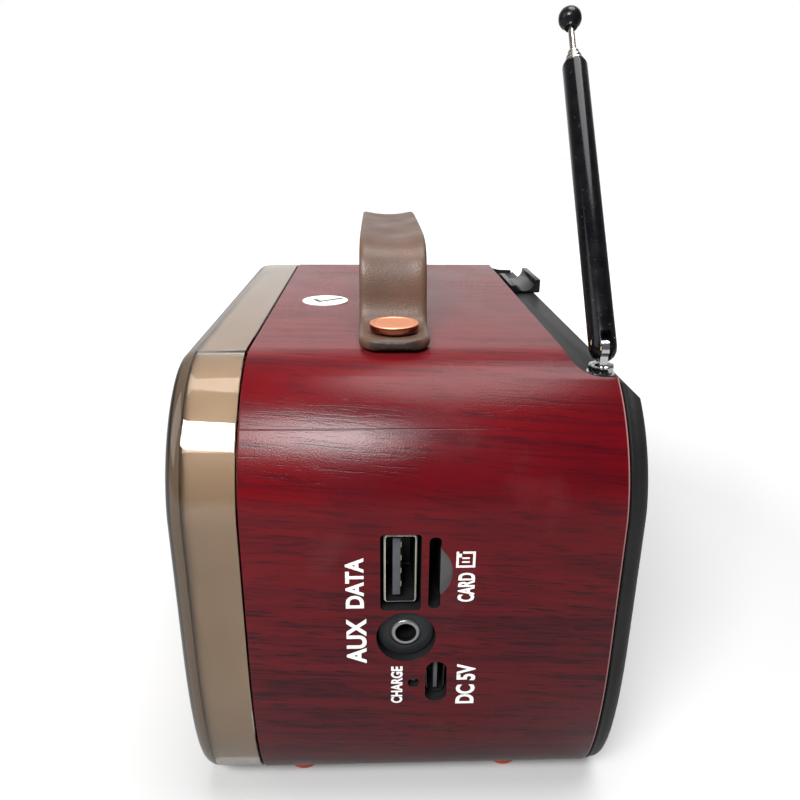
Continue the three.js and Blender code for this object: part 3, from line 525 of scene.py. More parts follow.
CARD_SIGN_BARS = [
    (0, 10, 0, 1.3), (0, 10, 8.7, 10), (0, 1.3, 1.3, 8.7), (8.7, 10, 1.3, 6.6),
    (3, 4, 3, 7), (5.4, 6.4, 3, 7), (6.4, 8.7, 7.2, 8.7),
]
card_sign = join_pieces("card_sign", [flat_box(*bar) for bar in CARD_SIGN_BARS])
side_print("print_card_sign", card_sign, 9.85, 12.95, 53.2, 56.2)

SEAL = (4.6, -14.15)
seal_paper = finish("seal_paper", (0.88, 0.88, 0.87), (0.78, 0.78, 0.77), 0.5, 0.65, 4, 0.25, 0.02)
seal = rod("paper_seal", "z", 5.0, CASE_TOP + 0.01, CASE_TOP + 0.11, SEAL, 64)
dress(seal, "case", "rosewood_film", material=seal_paper)
tick_arms = [flat_box(0, 2.9, -0.5, 0.5), flat_box(0, 6.2, -0.5, 0.5)]
for arm, turn, shift in zip(tick_arms, (-45, 50), ((-2.6, 0.3), (-0.9, -1.75))):
    arm.rotation_euler.z = math.radians(turn)
    arm.location = (*shift, 0)
    apply_all(arm)
tick = join_pieces("seal_tick", tick_arms)
tick.scale = (MM, MM, MM)
tick.rotation_euler.z = math.radians(75)
tick.location = Vector((*SEAL, CASE_TOP + 0.15)) * MM
apply_all(tick)
dress(tick, "case", "rosewood_film", material=dark_print)

# ---- Smoked front cover and the champagne frame behind it ----
# The cover is a clear brown acrylic cap glued over the front edge, its face printed black from inside except
# over the dial, and its rolled edge coloured dark brown going to black at the front as painted shade for the
# darkening seen through the thick clear edge. The frame is a satin champagne moulding seen through the cap's
# walls.
COVER_REAR = -25.05
COVER_FACE = -36.55
COVER_WALL = 1.8
COVER_ROLL = 3.3
ROLL_START = -33
FRAME_FACE = -34.05
SPEAKER = (-28, 58.8)
DIAL = (28, 58.2)
KNOB_X = 32
KNOB_Z = 15.7
BUTTON_Z = 31.7


def make_smoked():
    made, tree, shader = new_material("smoked_acrylic")
    grain = variation(tree, 12, 0.4)
    tree.links.new(mix_colour(tree, grain.outputs["Blotch"], (0.86, 0.78, 0.70), (0.81, 0.73, 0.64)),
                   shader.inputs["Base Color"])
    tree.links.new(spread(tree, grain.outputs["Speckle"], 0, 1, 0.015, 0.05), shader.inputs["Roughness"])
    shader.inputs["Transmission Weight"].default_value = 1
    shader.inputs["IOR"].default_value = 1.49
    return made


smoked = make_smoked()


def make_shade_ink():
    """Dark brown on the rolled edge, going to black at the front and on the face, under clear gloss: black
    print on the face, painted shade on the rolled edge.
    """
    made, tree, shader = new_material("inked_acrylic")
    grain = variation(tree, 14, 0.3)
    place = wire(tree, "ShaderNodeTexCoord").outputs["Object"]
    along = wire(tree, "ShaderNodeSeparateXYZ", None, {0: place}).outputs["Y"]
    # Painted shade: the dark brown and the black at the front of the rolled edge stand in for the darkening
    # seen through the thick clear edge.
    brown = mix_colour(tree, grain.outputs["Blotch"], (0.080, 0.055, 0.037), (0.064, 0.044, 0.029))
    black = spread(tree, along, -35.6 * MM, -35.2 * MM, 1.0, 0.0)
    tree.links.new(mix_colour(tree, black, brown, (0.008, 0.007, 0.006)), shader.inputs["Base Color"])
    tree.links.new(spread(tree, grain.outputs["Speckle"], 0, 1, 0.04, 0.09), shader.inputs["Roughness"])
    return made


shade_ink = make_shade_ink()
champagne = finish("champagne_plastic", (0.42, 0.335, 0.25), (0.37, 0.29, 0.21), 0.3, 0.42, 18, 0.25, 0.012)


def front_cap():
    rings = [case_outline(0.25, COVER_REAR), case_outline(0.1, COVER_REAR - 0.15),
             case_outline(0.2, ROLL_START)]
    for step in range(1, 9):
        angle = step / 8 * math.pi / 2
        inset = 0.2 + (COVER_ROLL - 0.2) * (1 - math.cos(angle))
        rings.append(case_outline(inset, ROLL_START + (COVER_FACE - ROLL_START) * math.sin(angle)))
    cap = loft("front_cap", rings)
    cap.data.materials.append(smoked)
    cap.data.materials.append(shade_ink)
    hollow = [case_outline(COVER_WALL, COVER_REAR + 1), case_outline(COVER_WALL, FRAME_FACE - 0.15),
              case_outline(COVER_WALL + 0.4, FRAME_FACE - 0.3)]
    cutters = [
        loft("hollow", hollow),
        rod("mouth", "y", 19.9, -40, -30, SPEAKER, 96),
        rod("window", "y", 16.9, -40, -30, DIAL, 96),
        block("strip", (-57.3, 57.3), (-40, -30), (BUTTON_Z - 5, BUTTON_Z + 5), 0.6),
        rod("left_bore", "y", 2.9, -40, -30, (-KNOB_X, KNOB_Z), 32),
        rod("right_bore", "y", 2.9, -40, -30, (KNOB_X, KNOB_Z), 32),
    ]
    for cutter in cutters:
        cutter.data.materials.append(shade_ink if cutter.name == "strip" else smoked)
    carve(cap, *cutters)
    # The dark faces: black print on the face, painted shade on the rolled edge.
    shade_ink_slot = list(cap.data.materials).index(shade_ink)
    for face in cap.data.polygons:
        outside = face.normal.y < 0.2 and face.center.y < -33.6 * MM
        face.material_index = shade_ink_slot if outside else 0
    pane = rod("pane", "y", 16.85, COVER_FACE, COVER_FACE + 1.8, DIAL, 96)
    pane.data.materials.append(smoked)
    return join_pieces("front_cap", [cap, pane])


dress(front_cap(), "case", "smoked_plastic", "front_cover", angle=30)


def frame_tray():
    rings = [case_outline(inset, y)
             for inset, y in ((2.1, COVER_REAR), (2.1, FRAME_FACE + 0.15), (2.25, FRAME_FACE))]
    tray = loft("frame_tray", rings)
    cutters = [
        loft("hollow", [case_outline(3.4, COVER_REAR + 1), case_outline(3.4, -32.55)]),
        rod("mouth", "y", 18.1, -40, -30, SPEAKER, 64),
        rod("well", "y", 17.3, -40, -30, DIAL, 64),
        rod("left_bore", "y", 2.9, -40, -30, (-KNOB_X, KNOB_Z), 32),
        rod("right_bore", "y", 2.9, -40, -30, (KNOB_X, KNOB_Z), 32),
    ]
    cutters += [block("stem", (x - 2.2, x + 2.2), (-40, -30), (BUTTON_Z - 2.2, BUTTON_Z + 2.2))
                for x in (-44, -22, 0, 22, 44)]
    cutters.append(block("key_room", (-55.7, 55.7), (-40, -33.5), (BUTTON_Z - 3.7, BUTTON_Z + 3.7)))
    return carve(tray, *cutters)


dress(frame_tray(), "case", "champagne_plastic", "front_frame", material=champagne)

# ---- Rear cover, its screws and the antenna clip ----
# A black satin moulding that plugs the rear, with a shelf across the cut-away edge for the folded antenna.
# Four cross-head screws are sunk in its face, and a separate snap clip holds the antenna down.
PLATE_FRONT = 37.55
PLATE_FACE = 41.05
SCREW_X = 54.5
SCREW_HEIGHTS = (14.2, 68.2)
SWIVEL = (46.6, 35.25)


def rear_cover():
    rings = [case_outline(0.4, PLATE_FRONT), case_outline(0.17, PLATE_FRONT + 0.2)]
    for step in range(9):
        angle = step / 8 * math.pi / 2
        inset = 0.4 + 2.9 * (1 - math.cos(angle)) ** 1.15
        rings.append(case_outline(inset, 38.1 + (PLATE_FACE - 38.1) * math.sin(angle)))
    plate = loft("rear_cover", rings)
    shelf = loft("shelf", [notch_ring(78.8, 0.3), notch_ring(SHELF_TOP, 0.3)])
    lip = loft("lip", [case_outline(2.8, 35.0), case_outline(2.8, 38.4)])
    carve(plate, shelf, lip, operation="UNION")
    above = block("above", (-70, 70), (20, 50), (SHELF_TOP, 95))
    slope = block("slope", (-70, 70), (-5, 20), (0, 10))
    slope.rotation_euler.x = -math.atan2(3.2, 3.6)
    slope.location = Vector((0, PLATE_FRONT + 0.4, SHELF_TOP)) * MM
    apply_all(slope)
    inside = loft("inside", [case_outline(4.3, 30), case_outline(4.3, 37.75)])
    room = block("room", (-45, 45), (20, 37.75), (60, 78.8))
    screws = [(side * SCREW_X, z) for side in (-1, 1) for z in SCREW_HEIGHTS]
    sinks = [rod("sink", "y", 2.5, PLATE_FACE - 2, 45, centre, 40) for centre in screws]
    bores = [rod("bore", "y", 1.6, 30, 45, centre, 24) for centre in screws]
    bolt_hole = rod("bolt_hole", "z", 1.6, 70, 90, SWIVEL, 24)
    nut_pocket = rod("nut_pocket", "z", 3.7, 74.8, 78.75, SWIVEL, 32)
    carve(inside, block("keep", (-70, 70), (20, 50), (78.0, 95)))
    carve(plate, above, slope, inside, room, *sinks, *bores, bolt_hole, nut_pocket)
    soften(plate, 0.22, 2, 40)
    return plate


dress(rear_cover(), "case", "black_plastic", "back_cover", material=black_plastic)

steel = finish("zinc_steel", (0.55, 0.55, 0.54), (0.42, 0.42, 0.41),
               0.25, 0.42, 4, 0.15, 0.01, Metallic=1.0)


def cross_screw(name, x, z):
    head = rod(name, "y", 2.1, 39.35, 40.85, (x, z), 40)
    soften(head, 0.5, 4)
    shank = rod("shank", "y", 0.7, 26.3, 39.4, (x, z), 20)
    carve(head, shank, operation="UNION")
    arms = [block("arm", (x - 1.5, x + 1.5), (40.1, 42), (z - 0.28, z + 0.28)),
            block("arm", (x - 0.28, x + 0.28), (40.1, 42), (z - 1.5, z + 1.5))]
    return carve(head, *arms)


for index, (x, z) in enumerate([(side * SCREW_X, z) for z in SCREW_HEIGHTS for side in (-1, 1)], start=1):
    rear_screw = cross_screw(f"rear_screw_{index}", x, z)
    dress(rear_screw, "case", "zinc_steel", f"back_screw_{index}", material=steel)

gloss_black = finish("gloss_black", (0.004, 0.004, 0.005), (0.008, 0.008, 0.009), 0.10, 0.2, 6, 0.2, 0.01,
                     Specular_IOR_Level=0.25)


def snap_clip():
    clip = block("snap_clip", (-37, -19.5), (31.65, 39.25), (81.1, 84.6), 0.4, 3)
    channel = rod("channel", "x", 2.55, -40, -15, (35.25, 84.15), 48)
    mouth = block("mouth", (-40, -15), (32.7, 37.45), (84.15, 90))
    low_front = block("low_front", (-40, -15), (30, 35.25), (83, 90))
    carve(clip, channel, mouth, low_front)
    soften(clip, 0.2, 2, 40)
    return clip


dress(snap_clip(), "case", "black_plastic", "antenna_clip", material=gloss_black)

# ---- Carrying strap and its copper screws ----
# A brown leatherette band bent up into a broad arch, its ends rounded and held down by flat copper screws.
# It is padded a little, so its edges are rounded and its crest dips along the middle.
STRAP_WIDTH = 12.4
STRAP_THICK = 2.0
STRAP_SEAT = 84.7
STRAP_CROWN = 99.6
STRAP_END = 45.8
STRAP_CORNER = 4.0
CREST_DIP = 0.9


def make_leatherette():
    made, tree, shader = new_material("leatherette")
    grain = variation(tree, 7, 0.28)
    place = wire(tree, "ShaderNodeTexCoord").outputs["Object"]
    cells = wire(tree, "ShaderNodeTexVoronoi", None, {"Vector": place, "Scale": 2300.0}).outputs["Distance"]
    brown = mix_colour(tree, grain.outputs["Blotch"], (0.105, 0.056, 0.036), (0.072, 0.038, 0.025))
    speck = math_node(tree, "MULTIPLY", spread(tree, grain.outputs["Speckle"], 0.6, 1.0), 0.35)
    speckled = mix_colour(tree, speck, brown, (0.045, 0.023, 0.015))
    # Painted shade: the strap is coloured darker at both ends.
    along = wire(tree, "ShaderNodeSeparateXYZ", None, {0: place}).outputs["X"]
    strap_end_painted_shade = spread(tree, math_node(tree, "ABSOLUTE", along), 44.8 * MM, 45.6 * MM)
    tree.links.new(mix_colour(tree, strap_end_painted_shade, speckled, (0.022, 0.012, 0.008)), shader.inputs["Base Color"])
    tree.links.new(spread(tree, grain.outputs["Blotch"], 0, 1, 0.36, 0.5), shader.inputs["Roughness"])
    bump(tree, shader, math_node(tree, "MULTIPLY_ADD", cells, 0.6, grain.outputs["Speckle"]), 0.018)
    shader.inputs["Specular IOR Level"].default_value = 0.4
    return made


leatherette = make_leatherette()


def strap_line():
    """The underside of the strap from its right end to its left, as (x, z) pairs."""
    seat, crown = STRAP_SEAT, STRAP_CROWN
    right = [(STRAP_END - d, seat) for d in (0, 0.15, 0.5, 1.0, 1.7, 2.6, 3.6, 5, 6.6)]
    curves = [
        ((37.5, seat), (33, seat), (31.2, seat + 1.6), (30.4, seat + 6), 10),
        ((30.4, seat + 6), (29.7, seat + 12), (29, crown - 0.3), (19, crown - 0.2), 36),
        ((19, crown - 0.2), (12, crown), (6, crown), (0, crown), 16),
    ]
    for index, (first, pull, last_pull, last, steps) in enumerate(curves):
        points = [(p.x, p.y) for p in bezier(first, pull, last_pull, last, steps)]
        right += points[1:] if index else points
    return right + [(-x, z) for x, z in reversed(right[:-1])]


def strap_section(half, edge):
    """The band's cross-section: (across, up) pairs round a slab with rounded edges."""
    across = [half * (i / 6 - 1) for i in range(1, 12)]
    low = [(a, 0.0) for a in across]
    right = [(half - edge + edge * math.sin(t), edge - edge * math.cos(t)) for t in (0.5, 1.05)]
    right += [(half, edge + 0.2), (half, STRAP_THICK - edge)]
    right += [(half - edge + edge * math.sin(t), STRAP_THICK - edge - edge * math.cos(t))
              for t in (2.1, 2.65)]
    high = [(a, STRAP_THICK) for a in reversed(across)]
    return low + right + high + [(-a, u) for a, u in reversed(right)]


def strap_band():
    line = strap_line()
    rings = []
    for index, (x, z) in enumerate(line):
        before = Vector(line[max(index - 1, 0)])
        after = Vector(line[min(index + 1, len(line) - 1)])
        along = (after - before).normalized()
        upward = Vector((along.y, -along.x))
        from_end = min(STRAP_END - abs(x), STRAP_CORNER)
        straight = STRAP_WIDTH / 2 - STRAP_CORNER
        half = straight + math.sqrt(STRAP_CORNER ** 2 - (STRAP_CORNER - from_end) ** 2)
        squeeze = min(1.0, 0.45 + from_end * 0.9)
        lift = max(0.0, (z - STRAP_SEAT - 6) / (STRAP_CROWN - STRAP_SEAT - 6)) ** 2
        ring = []
        for across, up in strap_section(half, 0.8):
            height = STRAP_THICK / 2 + (up - STRAP_THICK / 2) * squeeze
            dip = CREST_DIP * lift * (1 - (across / half) ** 2)
            centre = Vector((x, z)) + upward * (height - dip)
            ring.append(Vector((centre.x, STRAP_Y + across, centre.y)) * MM)
        rings.append(ring)
    band = loft("strap_band", rings)
    holes = [rod("hole", "z", 1.9, 80, 90, (side * STRAP_SCREW_X, STRAP_Y), 24) for side in (-1, 1)]
    return carve(band, *holes)


dress(strap_band(), "case", "leatherette", "strap_handle", material=leatherette, angle=50)

copper_top = finish("brushed_copper", (0.84, 0.41, 0.255), (0.76, 0.35, 0.21), 0.5, 0.62, 3, 0.15, 0.01,
                    Metallic=1.0)
# Painted shade: the sides of the screw heads are a far darker copper than their tops; their smoother turned
# finish is real.
copper_side_painted_shade = finish("turned_copper", (0.30, 0.09, 0.05), (0.20, 0.05, 0.03),
                     0.10, 0.2, 5, 0.2, 0.006, Metallic=1.0)
for name, side in (("right", 1), ("left", -1)):
    head = rod(f"copper_screw_{name}", "z", 4.3, 87.0, 88.4, (side * STRAP_SCREW_X, STRAP_Y), 96)
    soften(head, 0.3, 4)
    bpy.ops.object.mode_set(mode="EDIT")
    bpy.ops.mesh.select_all(action="DESELECT")
    bpy.ops.object.mode_set(mode="OBJECT")
    for face in head.data.polygons:
        face.select = face.normal.z > 0.99 and face.center.z > 88.3 * MM
    bpy.ops.object.mode_set(mode="EDIT")
    bpy.ops.mesh.select_mode(type="FACE")
    bpy.ops.mesh.inset(thickness=0.3 * MM)
    bpy.ops.mesh.inset(thickness=0.15 * MM, depth=-0.12 * MM)
    bpy.ops.object.mode_set(mode="OBJECT")
    shank = rod("shank", "z", 1.5, 76.9, 87.2, (side * STRAP_SCREW_X, STRAP_Y), 32)
    carve(head, shank, operation="UNION")
    dress(head, "case", "copper", f"strap_screw_{name}", material=copper_side_painted_shade)
    head.data.materials.append(copper_top)
    for face in head.data.polygons:
        face.material_index = 1 if face.center.z > 88.05 * MM and face.normal.z > 0.3 else 0

# ---- Sockets in the end wall ----
# Plated steel cans with black plastic cores sit just inside the wall on the main board. The audio socket
# has a charcoal face with a turned metal collar, and the charging lamp is a small lens behind its hole,
# coloured near black as painted shade of the recess.
champagne_metal = finish("socket_plating", (0.86, 0.80, 0.68), (0.72, 0.66, 0.55), 0.3, 0.45, 3, 0.15, 0.01,
                         Metallic=0.35)
socket_core = finish("socket_core", (0.006, 0.006, 0.007), (0.014, 0.014, 0.015), 0.25, 0.4, 3, 0.15, 0.01)
socket_tongue = finish("socket_tongue", (0.075, 0.080, 0.088), (0.05, 0.053, 0.06), 0.3, 0.45, 3, 0.2, 0.01)
collar_steel = finish("collar_steel", (0.34, 0.34, 0.34), (0.24, 0.24, 0.24), 0.2, 0.32, 3, 0.15, 0.01,
                      Metallic=0.8)
charcoal = finish("charcoal_plastic", (0.016, 0.018, 0.020), (0.010, 0.011, 0.012), 0.3, 0.42, 4, 0.2, 0.01,
                  Specular_IOR_Level=0.3)
MOUTH = 61.3


def socket_can(name, y, z, depth, wall, rounding):
    """A drawn steel can, open towards the outside, lined with black plastic."""
    can = block(name, (MOUTH - depth, MOUTH), y, z, rounding, 5)
    can.data.materials.append(champagne_metal)
    inner = [(a + wall, b - wall) for a, b in (y, z)]
    hollow = block("hollow", (MOUTH - depth + 2, MOUTH + 5), *inner, rounding * 0.7, 5)
    hollow.data.materials.append(socket_core)
    return carve(can, hollow)


usb = socket_can("usb_can", (-1.9, 3.6), (45.7, 58.7), 13, 0.34, 0.55)
usb_tongue = block("tongue", (48, MOUTH - 0.7), (-0.4, 0.9), (46.8, 57.6), 0.12)
with_material(usb_tongue, socket_tongue)
contacts = [with_material(block("contact", (52, 60), (0.9, 1.05), (z - 0.5, z + 0.5)), champagne_metal)
            for z in (48.6, 51.1, 53.6, 56.1)]
usb = join_pieces("usb_can", [usb, usb_tongue, *contacts])
dress(usb, "case", "zinc_steel", "usb_socket")

usb_c = socket_can("usb_c_can", (5.5, 8.8), (25.95, 34.25), 8, 0.22, 1.6)
usb_c_tongue = with_material(block("tongue", (54, MOUTH - 0.8), (6.8, 7.5), (27.2, 33), 0.1), socket_tongue)
dress(join_pieces("usb_c_can", [usb_c, usb_c_tongue]), "case", "zinc_steel", "usb_c_socket")

card = socket_can("card_can", (5.2, 7.75), (45.0, 59.2), 14, 0.25, 0.15)
card.location.x = -1.7 * MM
apply_all(card)
dress(card, "case", "zinc_steel", "card_socket", material=socket_core)


def audio_jack():
    body = with_material(block("jack_body", (48.3, 60.2), (-1, 4.0), (36.4, 42.8), 0.3), charcoal)
    face = with_material(rod("jack_face", "x", 4.7, 60.0, 61.0, AUX_CENTRE, 64), charcoal)
    soften(face, 0.12, 2)
    groove = rod("groove", "x", 2.75, 60.75, 62, AUX_CENTRE, 64)
    collar = with_material(rod("collar", "x", 2.45, 60.3, 61.25, AUX_CENTRE, 64), collar_steel)
    soften(collar, 0.28, 4)
    bore = with_material(rod("bore", "x", 1.82, 50, 62, AUX_CENTRE, 48), socket_core)
    carve(face, with_material(groove, socket_core))
    parts = [body, face, collar]
    for part in parts:
        core = bore.copy()
        core.data = bore.data.copy()
        bpy.context.collection.objects.link(core)
        carve(part, core)
    bpy.data.objects.remove(bore, do_unlink=True)
    return join_pieces("audio_jack", parts)


dress(audio_jack(), "case", "black_plastic", "aux_jack")
lamp = rod("charge_lens", "x", 0.7, 55.1, 61.5, LED_CENTRE, 24)
soften(lamp, 0.3, 3)
# Painted shade: the lamp lens is coloured near black to darken its recess.
lens = finish("lamp_lens", (0.012, 0.012, 0.012), (0.008, 0.008, 0.008), 0.08, 0.18, 2, 0.2, 0.005)
dress(lamp, "case", "cream_plastic", "charge_led", material=lens)

# ---- Feet ----
# Four turned buttons of orange-red silicone glued to the underside.
silicone = finish("silicone", (0.52, 0.075, 0.03), (0.40, 0.05, 0.02), 0.45, 0.6, 4, 0.2, 0.02,
                  Subsurface_Weight=0.1)
FOOT_X = 49.5
for end, end_y in (("front", SHELL_FRONT + 7), ("back", SHELL_FRONT + 47)):
    for side_name, side in (("left", -1), ("right", 1)):
        foot = rod(f"foot_{end}_{side_name}_button", "z", 3.1, 0, 1.9, (side * FOOT_X, end_y), 48)
        soften(foot, 0.7, 4)
        dress(foot, "case", "silicone", f"foot_{end}_{side_name}", material=silicone)

# ---- Loudspeaker grille and its ring ----
# A pressed steel dome, painted black and punched with rows of round holes, inside a gold plated ring.
gold = finish("gold_plating", (0.80, 0.56, 0.26), (0.70, 0.47, 0.20),
              0.14, 0.26, 6, 0.2, 0.006, Metallic=1.0)
grille_paint = finish("grille_paint", (0.018, 0.017, 0.016), (0.03, 0.028, 0.027), 0.35, 0.5, 6, 0.2, 0.02)
HOLE_PITCH = 1.9
ROW_PITCH = HOLE_PITCH * 0.866
PUNCHED_RADIUS = 17.6


def turned(name, profile, x, z, segments=96):
    """A piece turned about the front-to-back line through (x, z), from (radius, y) pairs that close up."""
    bpy.ops.mesh.primitive_circle_add(vertices=len(profile), radius=1, fill_type="NOTHING")
    piece = bpy.context.object
    piece.name = name
    for vertex, (radius, y) in zip(piece.data.vertices, profile):
        vertex.co = Vector((x + radius, y, z)) * MM
    bpy.ops.object.mode_set(mode="EDIT")
    bpy.ops.mesh.select_all(action="SELECT")
    bpy.ops.mesh.spin(steps=segments, angle=2 * math.pi, center=Vector((x, 0, z)) * MM, axis=(0, 1, 0))
    bpy.ops.mesh.select_all(action="SELECT")
    bpy.ops.mesh.remove_doubles(threshold=0.001 * MM)
    bpy.ops.mesh.normals_make_consistent(inside=False)
    bpy.ops.object.mode_set(mode="OBJECT")
    return piece


def band_profile(inner, outer, front, rear, chamfer):
    return [(inner + chamfer, front), (outer - chamfer, front), (outer, front + chamfer), (outer, rear),
            (inner, rear), (inner, front + chamfer)]


def grille_dome():
    dome = [(0.0, -38.15), (7, -38.05), (14, -37.75), (18, -37.2), (19.4, -36.95), (19.6, -36.0),
            (18.6, -36.1), (14, -36.9), (7, -37.25), (0.0, -37.35)]
    grille = turned("grille_dome", dome, *SPEAKER, 72)
    punches = []
    rows = int(18 / ROW_PITCH)
    for row in range(-rows, rows + 1):
        shift = HOLE_PITCH / 2 * (row % 2)
        for column in range(-10, 11):
            x = column * HOLE_PITCH + shift
            z = row * ROW_PITCH
            if math.hypot(x, z) < PUNCHED_RADIUS:
                punches.append((SPEAKER[0] + x, SPEAKER[1] + z))
    first = rod("punch", "y", 0.62, -39, -35, punches[0], 10)
    copies = [first]
    for x, z in punches[1:]:
        copy = first.copy()
        copy.data = first.data.copy()
        bpy.context.collection.objects.link(copy)
        copy.location = Vector((x - punches[0][0], 0, z - punches[0][1])) * MM
        copies.append(copy)
    punch = join_pieces("punches", copies)
    return carve(grille, punch)


dress(grille_dome(), "case", "black_plastic", "speaker_grille", material=grille_paint)
for place, radius, centre in (("grille", 20.1, SPEAKER), ("dial", 16.9, DIAL)):
    bezel = turned(f"{place}_bezel", band_profile(radius, radius + 1.6, -37.55, -36.85, 0.3), *centre)
    dress(bezel, "case", "gold_trim", f"{place}_ring", material=gold)

# ---- Tuning dial ----
# A cream scale plate printed with generic frequency numbers and ticks, and a gold pointer on a spindle.
SCALE_START = -82.5
SCALE_PRINT_Y = -32.29
cream = finish("dial_cream", (0.80, 0.72, 0.55), (0.74, 0.65, 0.48), 0.45, 0.6, 9, 0.3, 0.01)
plate = turned("scale_plate", band_profile(1.6, 18.5, -32.25, -31.15, 0.1), *DIAL)
dress(plate, "case", "cream_plastic", "dial_plate", material=cream)


def on_dial(radius, angle, x, y):
    """A place on the plate: up the radius at an angle from the top, then x across and y outwards."""
    turn = math.radians(angle)
    out = Vector((math.sin(turn), math.cos(turn)))
    across = Vector((math.cos(turn), -math.sin(turn)))
    flat = out * (radius + y) + across * x
    return DIAL[0] + flat.x, SCALE_PRINT_Y, DIAL[1] + flat.y


def dial_scale():
    marks = []
    for index in range(31):
        angle = SCALE_START + index * 5.5
        long_tick = index % 6 == 0
        tick_piece = flat_box(0, 1, 0, 1)
        half = 0.16 if long_tick else 0.09
        height = 2.2 if long_tick else 1.1
        fit(tick_piece, lambda a, u: on_dial(12.0, angle, (a - 0.5) * 2 * half, u * height))
        marks.append(tick_piece)
    for index, number in enumerate(("88", "92", "96", "100", "104", "108")):
        word = flat_word(number, 0.01)
        width = 0.95 * len(number)
        fit(word, lambda a, u: on_dial(9.2, SCALE_START + index * 33, (a - 0.5) * width, u * 1.7))
        marks.append(word)
    unit = flat_word("FM  MHz", 0.01)
    fit(unit, lambda a, u: (DIAL[0] - 4 + 8 * a, SCALE_PRINT_Y, DIAL[1] - 9 + 1.7 * u))
    return join_pieces("dial_scale", [*marks, unit])


scale = dial_scale()
bpy.ops.object.mode_set(mode="EDIT")
bpy.ops.mesh.select_all(action="SELECT")
bpy.ops.mesh.normals_make_consistent(inside=False)
bpy.ops.object.mode_set(mode="OBJECT")
dress(scale, "case", "cream_plastic", material=dark_print)

needle = block("needle", (27.5, 28.5), (-33.85, -33.25), (54.2, 72.7), 0.2, 3)
hub = rod("hub", "y", 2.2, -33.95, -32.85, DIAL, 40)
spindle = rod("spindle", "y", 1.1, -33.55, -28.15, DIAL, 24)
carve(needle, hub, spindle, operation="UNION")
dress(needle, "pointer", "gold_trim", "dial_pointer", material=gold)

# ---- Knobs ----
# Turned brass caps with a knurled side and a dished face, pressed on steel shafts.
KNOB_FRONT = -41.05
KNURLS = 60


def knob_cap(name, x):
    cap = rod(name, "y", 6.4, KNOB_FRONT, -36.95, (x, KNOB_Z), KNURLS * 2)
    for vertex in cap.data.vertices:
        offset = Vector((vertex.co.x - x * MM, 0, vertex.co.z - KNOB_Z * MM))
        step = round(math.atan2(offset.z, offset.x) / math.pi * KNURLS)
        if step % 2:
            vertex.co -= offset * 0.035
    for inset, depth in ((0.5, 0), (0.25, 0.35), (0.15, 0.1)):
        for face in cap.data.polygons:
            face.select = face.normal.y < -0.9 and len(face.vertices) > 10
        bpy.ops.object.mode_set(mode="EDIT")
        bpy.ops.mesh.select_mode(type="FACE")
        bpy.ops.mesh.inset(thickness=inset * MM, depth=-depth * MM)
        bpy.ops.object.mode_set(mode="OBJECT")
    socket = rod("socket", "y", 2.2, -39.85, -30, (x, KNOB_Z), 32)
    carve(cap, socket)
    soften(cap, 0.12, 2, 50)
    mark = block("mark", (x - 0.35, x + 0.35), (-40.55, -39.9), (KNOB_Z + 2.6, KNOB_Z + 5), 0.1)
    return join_pieces(name, [with_material(cap, gold), with_material(mark, dark_print)])


for name, x, moves in (("volume", -KNOB_X, "volume"), ("tuning", KNOB_X, "tuning")):
    dress(knob_cap(f"{name}_cap", x), moves, "gold_trim", f"{name}_knob", angle=25)

# ---- Push buttons in their gold trim ----
# Five moulded keys with printed signs, side by side in one gold plated surround.
key_plastic = finish("key_plastic", (0.020, 0.018, 0.017), (0.032, 0.029, 0.027), 0.25, 0.38, 7, 0.22, 0.015)
surround = block("key_surround", (-57, 57), (-37.05, -34.35), (BUTTON_Z - 4.7, BUTTON_Z + 4.7), 0.35, 3)
carve(surround, block("hole", (-56, 56), (-40, -30), (BUTTON_Z - 3.7, BUTTON_Z + 3.7)))
dress(surround, "case", "gold_trim", "button_trim", material=gold)


def triangle(x, half, point):
    bpy.ops.mesh.primitive_circle_add(vertices=3, radius=1, fill_type="NGON")
    piece = bpy.context.object
    for vertex, corner in zip(piece.data.vertices, ((x + point, 0), (x, half), (x, -half))):
        vertex.co = (*corner, 0)
    return piece


def ring_sign():
    rays = [flat_box(0.9, 1.4, -0.1, 0.1) for _ in range(8)]
    for index, ray in enumerate(rays):
        ray.rotation_euler.z = index * math.pi / 4
        apply_all(ray)
    bpy.ops.mesh.primitive_circle_add(vertices=24, radius=0.6, fill_type="NGON")
    return [bpy.context.object, *rays]


def key_signs(name):
    if name == "previous":
        return [triangle(0, 0.9, -1.1), triangle(1.1, 0.9, -1.1), flat_box(-1.4, -1.15, -0.9, 0.9)]
    if name == "next":
        return [triangle(0, 0.9, 1.1), triangle(-1.1, 0.9, 1.1), flat_box(1.15, 1.4, -0.9, 0.9)]
    if name == "play":
        return [triangle(-1.2, 0.9, 1.3), flat_box(0.4, 0.7, -0.9, 0.9), flat_box(1.0, 1.3, -0.9, 0.9)]
    if name == "light":
        return ring_sign()
    letter = flat_word("M", 0.02)
    letter.scale = (2.2, 2.2, 1)
    letter.location = (-0.85, -0.75, 0)
    apply_all(letter)
    return [letter]


for index, name in enumerate(("previous", "play", "mode", "light", "next")):
    x = (index - 2) * 22
    heights = (BUTTON_Z - 3.4, BUTTON_Z + 3.4)
    key = block(f"key_{name}_cap", (x - 10.7, x + 10.7), (-37.95, -34.55), heights, 0.5, 4)
    stem = block("stem", (x - 1.6, x + 1.6), (-34.9, -31.65), (BUTTON_Z - 1.6, BUTTON_Z + 1.6))
    carve(key, stem, operation="UNION")
    sign = join_pieces("sign", key_signs(name))
    for vertex in sign.data.vertices:
        vertex.co = Vector((x + vertex.co.x, -37.98, BUTTON_Z + vertex.co.y)) * MM
    key_parts = [with_material(key, key_plastic), with_material(sign, white_print)]
    dress(join_pieces(key.name, key_parts), f"key_{name}", "black_plastic", f"button_{name}")

